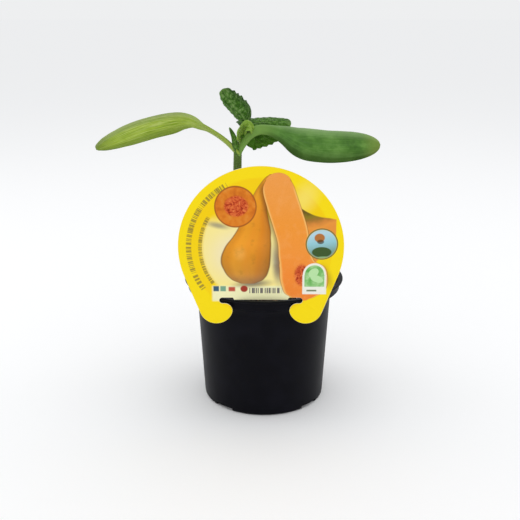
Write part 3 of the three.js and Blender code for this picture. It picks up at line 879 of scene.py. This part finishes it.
# %% Make the label
front_y = LABEL_PLANE - LABEL_THICKNESS / 2
count = len(label_outline)
points = [(x, front_y + depth, z) for depth in (0, LABEL_THICKNESS) for x, z in label_outline]
faces = [list(range(count)), list(range(2 * count - 1, count - 1, -1))]
faces += [(i, count + i, count + (i + 1) % count, (i + 1) % count) for i in range(count)]
label = new_piece("picture_label_plate", points, faces, bare_sheet, printed)
label.data.polygons[0].material_index = 1

cut_edge = label.modifiers.new("worn edge", "BEVEL")
cut_edge.width = 0.1 * MM
cut_edge.segments = 2
cut_edge.limit_method = "ANGLE"
cut_edge.angle_limit = math.radians(60)
graph = bpy.context.evaluated_depsgraph_get()
bevelled = bpy.data.meshes.new_from_object(label.evaluated_get(graph))
label.modifiers.clear()
label.data = bevelled
shape = bmesh.new()
shape.from_mesh(bevelled)
bmesh.ops.triangulate(shape, faces=shape.faces, ngon_method="BEAUTY")
for face in shape.faces:
    face.material_index = int(face.calc_center_median().y < (front_y + 0.01) * MM)
shape.to_mesh(bevelled)
shape.free()
outward(label, crease=30)
hand_over(label, "picture_label")

# %% [markdown]
# ## Plant: how a leaf is built
#
# Every part of the plant is a skin round a spine. The spine is a smooth curve; across it lies a
# strip that bends and rolls, as wide as the leaf is there. A leaf's upper and lower skins stand
# on either side of that strip, meet in a round margin, and follow the veins: sunk above and
# raised below. So the mesh is written from the leaf's own numbers, t along the spine from 0 to
# 1 and a across it from -1 to 1. They also go into a UV map, with the veins in an attribute,
# so that the materials can follow the leaf wherever it bends.

# %% Spines
STEM_TOP_X = -16.7  # where the stem ends, to the left of the pot's axis
CROWN = np.array([STEM_TOP_X, 0.0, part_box("stem")[1][2] / MM])
print("crown, where the leaves part:", CROWN.round(1))


def spine_at(points, shares, steps=60):
    """Places and directions at shares of the length of a smooth curve through points."""
    p = np.array(points, float)
    p = np.vstack([2 * p[0] - p[1], p, 2 * p[-1] - p[-2]])
    t = np.linspace(0, 1, steps, endpoint=False)[:, None]
    path = []
    for a, b, c, d in zip(p, p[1:], p[2:], p[3:]):
        before, here, after = (np.linalg.norm(v - u) ** 0.5 for u, v in ((a, b), (b, c), (c, d)))
        start = ((b - a) / before - (c - a) / (before + here) + (c - b) / here) * here
        end = ((c - b) / here - (d - b) / (here + after) + (d - c) / after) * here
        path.append((2 * t**3 - 3 * t**2 + 1) * b + (t**3 - 2 * t**2 + t) * start)
        path[-1] += (3 * t**2 - 2 * t**3) * c + (t**3 - t**2) * end
    path = np.vstack([*path, p[-2:-1]])
    lengths = np.concatenate([[0], np.cumsum(np.linalg.norm(np.diff(path, axis=0), axis=1))])
    at = np.asarray(shares) * lengths[-1]
    places = np.stack([np.interp(at, lengths, path[:, k]) for k in range(3)], axis=1)
    slopes = np.gradient(path, lengths, axis=0)
    along = np.stack([np.interp(at, lengths, slopes[:, k]) for k in range(3)], axis=1)
    return places, along / np.linalg.norm(along, axis=1, keepdims=True)


def ease(t, start, end):
    """0 before start, 1 after end, smooth between."""
    s = np.clip((t - start) / (end - start), 0, 1)
    return s**3 * (s * (6 * s - 15) + 10)


def blend(a, b, share):
    return a + (b - a) * share


def leaf_width(stalk, stalk_end, widest, half, tip=2.3):
    """Half width of a leaf on its stalk: widest at one place, then rounding off to the tip."""

    def width(t):
        share = np.clip((t - widest) / (1 - widest), 0, 1)
        rounding = half * np.sqrt(np.maximum(0, 1 - share**tip))
        return np.maximum(
            0.12, np.where(t < widest, blend(stalk, half, ease(t, stalk_end, widest)), rounding)
        )

    return width


def lumps(points, size, seed, octaves=3):
    """Smooth noise about 0 at each point, its largest features about size mm across."""
    shift = Vector((seed * 17.3, seed * 5.1, seed * 9.7))
    places = np.asarray(points).reshape(-1, 3)
    made = [noise.fractal(Vector(p) / size + shift, 1.0, 2.0, octaves) for p in places]
    return np.array(made).reshape(np.asarray(points).shape[:-1])


# %% Skins round a spine
def side_veins(t, a, width, starts, reach, spread, breadth):
    """Veins that leave the midrib at each start and bow out towards the margin."""
    made = np.zeros(np.broadcast(t, a).shape)
    for start in starts:
        past = np.clip(t - start, 0, None)
        where = reach * (1 - np.exp(-past / spread))
        for edge in (-1, 1):
            off = (a - edge * where) * width
            made = np.maximum(made, np.exp(-((off / breadth) ** 2)) * ease(past, 0, 0.02))
    return made


def skin_piece(
    name, spine, level, width, thick, roll, curl, material, rows=120, columns=41, **extra
):
    """A closed skin. Extra numbers: veins(t, a), relief(t, a, place), sweep(t, a), bladed(t)."""
    along_share = (1 - np.cos(np.linspace(0, math.pi, rows))) / 2
    t = 0.35 * along_share + 0.65 * np.linspace(0, 1, rows)
    spread = np.linspace(-1, 1, columns)
    a = 0.45 * spread + 0.55 * np.sin(spread * math.pi / 2)
    places, along = spine_at(np.array(spine) + CROWN * extra.get("from_crown", 1), t)
    side = np.cross(along, level)
    side /= np.linalg.norm(side, axis=1, keepdims=True)
    turn = np.radians(roll(t))[:, None]
    side = side * np.cos(turn) + np.cross(along, side) * np.sin(turn)
    face = np.cross(side, along)

    tt, aa = t[:, None], a[None, :]
    across = width(t)[:, None] * aa
    bend = curl(tt, aa) * np.ones_like(across)
    middle = columns // 2

    def summed(values):
        steps = 0.5 * (values[:, 1:] + values[:, :-1]) * np.diff(across, axis=1)
        total = np.concatenate([np.zeros((rows, 1)), np.cumsum(steps, axis=1)], axis=1)
        return total - total[:, middle : middle + 1]

    angle = summed(bend)
    over, up = summed(np.cos(angle)), summed(np.sin(angle))
    strip = places[:, None] + side[:, None] * over[..., None] + face[:, None] * up[..., None]
    normal = face[:, None] * np.cos(angle)[..., None] - side[:, None] * np.sin(angle)[..., None]
    if "sweep" in extra:
        strip = strip + along[:, None] * extra["sweep"](tt, aa)[..., None]
    if "relief" in extra:
        strip = strip + normal * extra["relief"](tt, aa, strip)[..., None]

    bladed = extra["bladed"](tt) if "bladed" in extra else np.zeros_like(tt)
    power = blend(2.0, 7.0, bladed)
    half = thick(t)[:, None] * np.maximum(0, 1 - np.abs(aa) ** power) ** 0.5
    veins = extra["veins"](tt, aa) if "veins" in extra else np.zeros_like(half)
    groove = 0.16 * veins * bladed * (1 - aa**8)
    above = strip + normal * (half - groove)[..., None]
    below = strip - normal * (half + 1.7 * groove)[..., None]

    loop = np.concatenate([above, below[:, -2:0:-1]], axis=1)
    upper = np.concatenate([np.ones(columns), np.zeros(columns - 2)])
    upper[[0, columns - 1]] = 0.5
    around = loop.shape[1]
    ends = [strip[0, middle] - along[0] * 0.2, strip[-1, middle] + along[-1] * 0.1]
    points = np.vstack([ends[:1], loop.reshape(-1, 3), ends[1:]])
    last = len(points) - 1
    faces = []
    for c in range(around):
        n = (c + 1) % around
        faces.append((0, 1 + n, 1 + c))
        faces.append((last, last - around + c, last - around + n))
        for r in range(rows - 1):
            first = 1 + r * around
            faces.append((first + c, first + n, first + around + n, first + around + c))

    piece = new_piece(name, points, faces, material)
    both = np.concatenate([a, a[-2:0:-1]])
    values = {
        "upper": np.tile(upper, rows),
        "vein": np.concatenate([veins, veins[:, -2:0:-1]], axis=1).ravel(),
        "blade": np.repeat(np.broadcast_to(bladed, (rows, 1))[:, 0], around),
    }
    for label, inner in values.items():
        layer = piece.data.attributes.new(label, "FLOAT", "POINT")
        layer.data.foreach_set("value", np.concatenate([inner[:1], inner, inner[-1:]]))
    uv_of_point = np.stack([np.repeat(t, around), np.tile(both, rows) * 0.5 + 0.5], axis=1)
    uv_of_point = np.vstack([(0, 0.5), uv_of_point, (1, 0.5)])
    corners = np.zeros(len(piece.data.loops), dtype=np.int32)
    piece.data.loops.foreach_get("vertex_index", corners)
    uv = piece.data.uv_layers.new(name="leaf")
    uv.data.foreach_set("uv", uv_of_point[corners].ravel())
    return piece


# %% [markdown]
# ### Green skins
#
# A seed leaf is thick and smooth, its cells full of water, with a thin wax that gives a broad
# soft gleam. Above it is mid green, mottled with paler patches; below it is paler and
# yellower, with faint lengthwise streaks. True leaves are darker, rough with short hairs, and
# puckered between their veins. Stalks are pale. Plant tissue has an IOR near 1.4, and light
# that enters it scatters for about a millimetre, so each material has a little subsurface.


# %% Materials: leaf, stalk and bud
def leaf_material(name, above, below, streak, gloss, mottle_mm, tints):
    """above and below are three colours each: dark, middle and pale. tints are the colours of
    the tip, the veins, the stalk, and the painted light and shade in bands along the margins
    at a = -1 and a = 1."""
    tip_tint, vein_tint, stalk_tint, first_margin_tone_and_painted_light, last_margin_tone_and_painted_light = tints
    material, tree, place = new_material(name)
    leaf = add(tree, "ShaderNodeUVMap", uv_map="leaf")
    apart = add(tree, "ShaderNodeSeparateXYZ", {"Vector": leaf})
    t, a = Number(apart.outputs["X"]), Number(apart.outputs["Y"]) * 2 - 1
    upper = add(tree, "ShaderNodeAttribute", attribute_name="upper").outputs["Fac"]
    vein = Number(add(tree, "ShaderNodeAttribute", attribute_name="vein").outputs["Fac"])
    blade = Number(add(tree, "ShaderNodeAttribute", attribute_name="blade").outputs["Fac"])

    patches = {"Vector": place, "Scale": 1 / (mottle_mm * MM), "Detail": 5.0, "Roughness": 0.6}
    patches = Number(add(tree, "ShaderNodeTexNoise", patches).outputs[0])
    long = add(tree, "ShaderNodeCombineXYZ", {"X": t * 3.0, "Y": a * 9.0})
    streaks = {"Vector": long, "Scale": 1.6, "Detail": 4.0}
    streaks = Number(add(tree, "ShaderNodeTexNoise", streaks).outputs[0])
    tone = patches * (1 - streak) + streaks * streak
    lower_skin, upper_skin = (ramp_of(tree, tone, codes, 0.34, 0.66) for codes in (below, above))
    layers = Layers(tree, lower_skin).lay(upper_skin, upper)
    layers.lay(srgb(stalk_tint), blade.step(1.0, 0.0) * 0.7)
    # Painted light and shade: a band of the given colour along each margin, at a = -1 and a = 1,
    # lightens or darkens the leaf where its edges turn towards or away from the light.
    layers.lay(srgb(first_margin_tone_and_painted_light), a.step(-0.25, -1.0) * blade * 0.75)
    layers.lay(srgb(last_margin_tone_and_painted_light), a.step(0.2, 0.95) * blade * 0.75)
    layers.lay(srgb(vein_tint), vein * blade * 0.38)
    layers.lay(srgb(tip_tint), t.step(0.86, 1.0) * 0.5)

    pores = add(tree, "ShaderNodeTexVoronoi", {"Vector": place, "Scale": 2600.0})
    bump = add(tree, "ShaderNodeBump", {"Strength": 0.25, "Distance": 0.12 * MM, "Height": pores})
    shader = surface(tree, layers.colour, patches * 0.18 + gloss, 1.4, bump, specular=0.22)
    shader.inputs["Subsurface Weight"].default_value = 0.12
    shader.inputs["Subsurface Scale"].default_value = 1.0 * MM
    shader.inputs["Subsurface Radius"].default_value = (0.6, 1.0, 0.25)
    return material


seed_left_green = leaf_material(
    "waxy seed leaf, pale side out",
    ("#5F7E24", "#819E3E", "#A3B962"),
    ("#76961A", "#A6C03A", "#CCDC7C"),
    # The last two tints are painted light: a pale grey-green highlight along the raised margin at a
    # = -1, and painted shade along the lower margin at a = 1.
    0.75, 0.42, 9, ("#4E6618", "#71902A", "#8FA444", "#9DAC70", "#6C8428"),
)
seed_right_green = leaf_material(
    "waxy seed leaf, green side out",
    ("#305818", "#4C7A2A", "#6E9A48"),
    ("#4F7026", "#6C8C3C", "#8AA456"),
    # The last two tints are painted light: a grey sheen along the top margin at a = -1, and painted
    # shade along the low margin at a = 1.
    0.2, 0.36, 16, ("#8B9A45", "#6F9A50", "#7FA54E", "#86A46C", "#284204"),
)
rolled_green = leaf_material(
    "rough true leaf, still rolled",
    ("#20440A", "#3C6A14", "#7E9E5C"),
    ("#2C5205", "#42680F", "#5F8228"),
    # The last two tints are painted light: a brighter band along the left margin at a = -1, and
    # painted shade along the right margin at a = 1.
    0.1, 0.5, 2.2, ("#5A7C34", "#8FAE6A", "#4E7428", "#4F8024", "#1C3810"),
)
open_green = leaf_material(
    "rough true leaf, opened",
    ("#204404", "#386408", "#64903A"),
    ("#2C5205", "#42680F", "#5F8228"),
    0.1, 0.55, 2.2, ("#6A8C48", "#7FA055", "#4E7428", "#2C4C20", "#3E6C04"),
)
bud_green = leaf_material(
    "soft bud leaf",
    ("#3A5C0C", "#6A8E22", "#A2BE58"),
    ("#62861C", "#8AAC3C", "#B8D07C"),
    0.4, 0.55, 2.5, ("#86A544", "#A8C46A", "#7C9C3C", "#86AA40", "#86AA40"),
)
stem_green = leaf_material(
    "ribbed green stem",
    ("#2E4314", "#485C24", "#748A50"),
    ("#2E4314", "#485C24", "#748A50"),
    0.6, 0.45, 3.5, ("#5C7C30", "#7E9A56", "#4C6228", "#4C6228", "#4C6228"),
)

# %% [markdown]
# ### Hairs
#
# Squash stems and true leaves are rough to the touch: they carry stiff pale hairs of about
# 0.6 mm, each a single tapering cell. A Geometry Nodes tree strews them over a skin, every one
# a slim closed cone that stands on the surface's normal.

# %% Tree and material: hairs
hair_cell, tree, place = new_material("pale plant hair")
age = add(tree, "ShaderNodeTexNoise", {"Vector": place, "Scale": 500.0})
surface(tree, Layers(tree, srgb("#A9BE86")).lay(srgb("#DCE6C8"), age).colour, 0.5, 1.45)

tree, given = geometry_tree(
    "plant hairs",
    Density=("Float", 700000.0),
    Length=("Float", 0.6 * MM),
    Seed=("Int", 5),
    Cell=("Material", None),
)
spots = {"Mesh": given["Geometry"], "Density": given["Density"], "Seed": given["Seed"]}
spots = add(tree, "GeometryNodeDistributePointsOnFaces", spots)
cone = {
    "Vertices": 3, "Radius Top": 0.008 * MM, "Radius Bottom": 0.045 * MM, "Depth": given["Length"]
}
cone = add(tree, "GeometryNodeMeshCone", cone)
length = add(tree, "FunctionNodeRandomValue", {"Min": 0.5, "Max": 1.3, "Seed": given["Seed"]})
copies = {"Points": spots.outputs["Points"], "Instance": cone, "Scale": length}
copies["Rotation"] = spots.outputs["Rotation"]
hairs = add(tree, "GeometryNodeInstanceOnPoints", copies)
hairs = add(tree, "GeometryNodeSetMaterial", {"Geometry": hairs, "Material": given["Cell"]})
joined = add(tree, "GeometryNodeJoinGeometry")
for part in (hairs.outputs[0], given["Geometry"]):
    tree.links.new(part, joined.inputs[0])
realised = add(tree, "GeometryNodeRealizeInstances", {"Geometry": joined})
add(tree, "NodeGroupOutput", {"Geometry": realised})
plant_hairs = tree


def finish_skin(piece, slot, node, **hairs):
    """Turns a skin outwards, sets hairs on it where their inputs are given, and hands it over."""
    outward(piece)
    if hairs:
        run_tree(piece, plant_hairs, Cell=hair_cell, **hairs)
    hand_over(piece, node)


# %% [markdown]
# ### Stem
#
# The stem of a squash seedling is a hollow, slightly five-ribbed stalk, stout for its height,
# that leans a little before it reaches the leaves. A short second joint, the epicotyl, carries
# the true leaves on above the seed leaves. Both are skins with a low relief of ribs.


# %% Make the stem and the epicotyl
def flat(value):
    return lambda t, a=0: value + 0 * (t + a)


def ribs(t, a, place):
    return 0.16 * np.cos(a * math.pi * 2.5) * (1 - a**4)


FRONT = (0.0, -1.0, 0.0)
UP = (0.0, 0.0, 1.0)
STEM = [
    (-11, 4, 62.6), (-11, 4, 72.6), (-13.57, 3.2, 103.7), (-16.9, 0.8, 143.25),
    (STEM_TOP_X, 0, 166.8),
]
EPICOTYL = [(0.4, 0.3, -2), (2, 0.8, 5), (4.2, 1.2, 11.5), (5, 1.4, 15.5)]


def stem_radius(t):
    return blend(3.1, 2.6, t)


def epicotyl_radius(t):
    return blend(2.1, 1.6, t)


stem = skin_piece(
    "stem_skin", STEM, FRONT, stem_radius, stem_radius, flat(0), flat(0), stem_green,
    rows=90, columns=25, relief=ribs, from_crown=0,
)
finish_skin(stem, "stem_green", "stem", Seed=5)
epicotyl = skin_piece(
    "epicotyl_skin", EPICOTYL, FRONT, epicotyl_radius, epicotyl_radius, flat(0), flat(0),
    stem_green,
    rows=40, columns=25, relief=ribs,
)
finish_skin(epicotyl, "stem_green", "epicotyl", Seed=6)

# %% [markdown]
# ### Seed leaves
#
# The two seed leaves fed the plant while it broke the ground. Each has a flat channelled stalk
# that widens into a thick oval blade with a rounded tip. The left one arches up and over and
# turns its paler side to the front, with the top margin curled over. The right one lies almost
# level with its green side out. Three or four pairs of long veins bow out from the midrib.

# %% Left seed leaf
LEFT_SPINE = [
    (0.4, 0, -2.6), (-5.6, -0.5, 4), (-12, -1, 9.2), (-18.5, -1.5, 13.2), (-23, -1.5, 15.2),
    (-28, -1.5, 17.8), (-34, -1.3, 18.7), (-41.5, -1, 18), (-57.5, 0, 14.2), (-73.5, 1, 8.2),
    (-90.3, 1, 0.4),
]
left_width = leaf_width(3.5, 0.16, 0.56, 12.8, 2.5)


def seed_thickness(t):
    return blend(2.8, 0.9, ease(t, 0.12, 0.36)) / 2


def left_veins(t, a):
    width = left_width(t)
    midrib = np.exp(-((a * width / 0.8) ** 2)) * (1 - 0.7 * t)
    return np.maximum(
        midrib, 0.8 * side_veins(t, a, width, (0.22, 0.29, 0.37, 0.47), 0.78, 0.22, 0.5)
    )


def left_curl(t, a):
    hem = ease(np.abs(a), 0.75, 1.0) * ease(t, 0.35, 0.55) * (1 - ease(t, 0.86, 1.0))
    return -0.018 * ease(t, 0.3, 0.5) - 0.16 * hem


def seed_relief(t, a, place):
    return (0.35 * lumps(place, 22, 1) + 0.1 * lumps(place, 5, 2)) * ease(t, 0.25, 0.5)


left_leaf = skin_piece(
    "seed_leaf_left_skin", LEFT_SPINE, UP, left_width, seed_thickness,
    lambda t: blend(20, 38, ease(t, 0.1, 0.4)), left_curl, seed_left_green,
    rows=170, columns=61, veins=left_veins, relief=seed_relief, bladed=lambda t: ease(t, 0.2, 0.42),
)
finish_skin(left_leaf, "seed_leaf_green", "seed_leaf_left")

# %% Right seed leaf
RIGHT_SPINE = [
    (-0.4, 0, -2.4), (4, -1.8, 5.6), (8.2, -2.8, 10.6), (13.8, -3.6, 13.2), (20, -4, 13),
    (29, -3, 10), (39, -2, 6), (54, -1, 3.6), (72, 0, 3.1), (90.4, 0, 3.3),
]
right_width = leaf_width(3.4, 0.22, 0.58, 13, 2.7)


def right_veins(t, a):
    width = right_width(t)
    midrib = np.exp(-((a * width / 0.8) ** 2)) * (1 - 0.8 * t) * 0.8
    return np.maximum(
        midrib, 0.5 * side_veins(t, a, width, (0.2, 0.27, 0.35, 0.45), 0.78, 0.22, 0.5)
    )


def right_curl(t, a):
    far_side = ease(-a, 0.35, 1.0) * ease(t, 0.15, 0.3) * (1 - ease(t, 0.7, 1.0))
    near_side = ease(a, 0.8, 1.0) * ease(t, 0.3, 0.5) * (1 - ease(t, 0.88, 1.0))
    return -0.014 * ease(t, 0.3, 0.5) - 0.11 * far_side - 0.05 * near_side


right_leaf = skin_piece(
    "seed_leaf_right_skin", RIGHT_SPINE, UP, right_width, seed_thickness,
    lambda t: blend(60, 47, ease(t, 0.1, 0.5)), right_curl, seed_right_green,
    rows=170, columns=61, veins=right_veins, relief=seed_relief,
    bladed=lambda t: ease(t, 0.16, 0.44),
)
finish_skin(right_leaf, "seed_leaf_green", "seed_leaf_right")

# %% [markdown]
# ### True leaves
#
# The first two true leaves are small, dark and crinkled. The older one stands up, still rolled
# along its midrib; the second has opened behind the right seed leaf's stalk, with its near half
# hanging. Both have shallow teeth round the margin and blistered cells between the veins: the
# teeth are a saw added to the leaf's width, and the blisters are noise in its relief.


# %% Teeth and blisters
def toothed(width, teeth, depth, start):
    def with_teeth(t):
        saw = (t * teeth) % 1.0
        tooth = np.where(saw < 0.7, saw / 0.7, (1 - saw) / 0.3)
        return width(t) * (1 + depth * (tooth - 0.5) * ease(t, start, start + 0.15))

    return with_teeth


def palmate_veins(width, starts, spread=0.16):
    def veins(t, a):
        wide = width(t)
        midrib = np.exp(-((a * wide / 0.45) ** 2)) * (1 - 0.6 * t)
        return np.maximum(midrib, 0.9 * side_veins(t, a, wide, starts, 1.3, spread, 0.32))

    return veins


def blistered(veins, height, seed):
    def relief(t, a, place):
        between = 1 - veins(t, a)
        return height * (0.5 + lumps(place, 2.6, seed)) * between * (1 - 0.5 * np.abs(a) ** 3)

    return relief


# %% Upright true leaf
UPRIGHT_SPINE = [(4.6, 1.4, 13.8), (5, 1.6, 18.6), (-0.6, 1.2, 26), (-5, 0.6, 31), (-9, 0, 38)]
upright_width = leaf_width(1.5, 0.02, 0.42, 9, 1.8)
upright_veins = palmate_veins(upright_width, (0.06, 0.17, 0.3, 0.44, 0.58))
upright = skin_piece(
    "true_leaf_upright_skin", UPRIGHT_SPINE, FRONT, toothed(upright_width, 8, 0.24, 0.35),
    flat(0.4),
    flat(-14), lambda t, a: -0.17 * ease(t, 0.02, 0.3) + 0 * a, rolled_green,
    rows=140, columns=71, veins=upright_veins, relief=blistered(upright_veins, 0.55, 3),
    bladed=lambda t: ease(t, 0.03, 0.15),
)
finish_skin(upright, "true_leaf_green", "true_leaf_upright", Seed=7, Length=0.45 * MM)

# %% Spreading true leaf
SPREADING_SPINE = [
    (4.8, 1.8, 12.6), (7.4, 4, 14.9), (12, 6.4, 15.8), (21, 7.8, 16.2), (34, 7.6, 15.8)
]
spreading_width = leaf_width(1.3, 0, 0.24, 18.6, 1.5)
spreading_veins = palmate_veins(spreading_width, (0.05, 0.14, 0.26, 0.4, 0.56), 0.2)


def lobes(t, a):
    """The base of the blade reaches back on either side of the stalk."""
    near = ease(a, 0.0, 0.5) * (1 - 0.62 * ease(a, 0.66, 1.0))
    far = np.clip(-a, 0, 1) ** 1.5
    return -(8 * near + 1.8 * far) * (1 - ease(t, 0.1, 0.8))


def spreading_curl(t, a):
    """The near half hangs from the midrib, behind the seed leaf's stalk."""
    fold = ease(a, 0, 0.08) * (1 - ease(a, 0.3, 0.42))
    return -(0.045 + 0.15 * fold) * ease(t, 0, 0.12)


spreading = skin_piece(
    "true_leaf_spreading_skin", SPREADING_SPINE, UP, toothed(spreading_width, 9, 0.07, 0.1),
    flat(0.4),
    flat(21), spreading_curl, open_green,
    rows=140, columns=71, veins=spreading_veins, relief=blistered(spreading_veins, 0.55, 5),
    sweep=lobes,
    bladed=lambda t: ease(t, 0.02, 0.1),
)
finish_skin(spreading, "true_leaf_green", "true_leaf_spreading", Seed=8, Length=0.45 * MM)

# %% [markdown]
# ### Bud
#
# The growing tip is wrapped in its youngest leaves: one hooded over, with a smaller one curled
# inside it, and a narrow leaf standing in the angle between the stem and the left seed leaf.
# They are paler and softer than the open leaves, and deeply cupped.

# %% Bud leaves and axil leaf
RIGHTWARD = (1.0, 0.0, 0.0)
HOOD_SPINE = [
    (2, -0.8, 3.2), (1.0, -3.2, 8.4), (1.8, -4.4, 13.2), (5, -4.8, 15.8), (8.6, -4.6, 14.2),
    (9.2, -4.4, 10.8),
]
INNER_SPINE = [(4, -0.6, 9.4), (5.2, -2.4, 12.4), (6.4, -2.6, 14.6), (8, -2.2, 13.2)]
AXIL_SPINE = [(0.2, -1.8, -3), (-1.2, -3.4, 3), (-2.2, -3.4, 8.6), (-5, -3, 14.6)]


def bud_piece(name, node, spine, level, width, roll, curl, seed, material=bud_green):
    veins = palmate_veins(width, (0.1, 0.3, 0.5))
    piece = skin_piece(
        name, spine, level, width, flat(0.4), flat(roll), flat(curl), material,
        rows=80, columns=41, veins=veins, relief=blistered(veins, 0.3, seed),
        bladed=lambda t: ease(t, 0.05, 0.2),
    )
    finish_skin(piece, "bud_green", node, Seed=seed, Length=0.4 * MM, Density=1200000.0)


hood_width = leaf_width(1, 0.05, 0.4, 4.2, 2.4)
inner_width = leaf_width(0.8, 0.05, 0.5, 2.4, 2.4)
axil_width = leaf_width(1.2, 0.02, 0.4, 2.1, 1.3)
bud_piece("bud_leaf_hood", "bud_leaf", HOOD_SPINE, (0.85, -0.52, 0.0), hood_width, 0, 0.12, 7)
bud_piece("bud_leaf_inner_curl", "bud_leaf_inner", INNER_SPINE, RIGHTWARD, inner_width, 0, 0.16, 8)
bud_piece("axil_leaf_blade", "axil_leaf", AXIL_SPINE, FRONT, axil_width, 24, -0.2, 9, open_green)
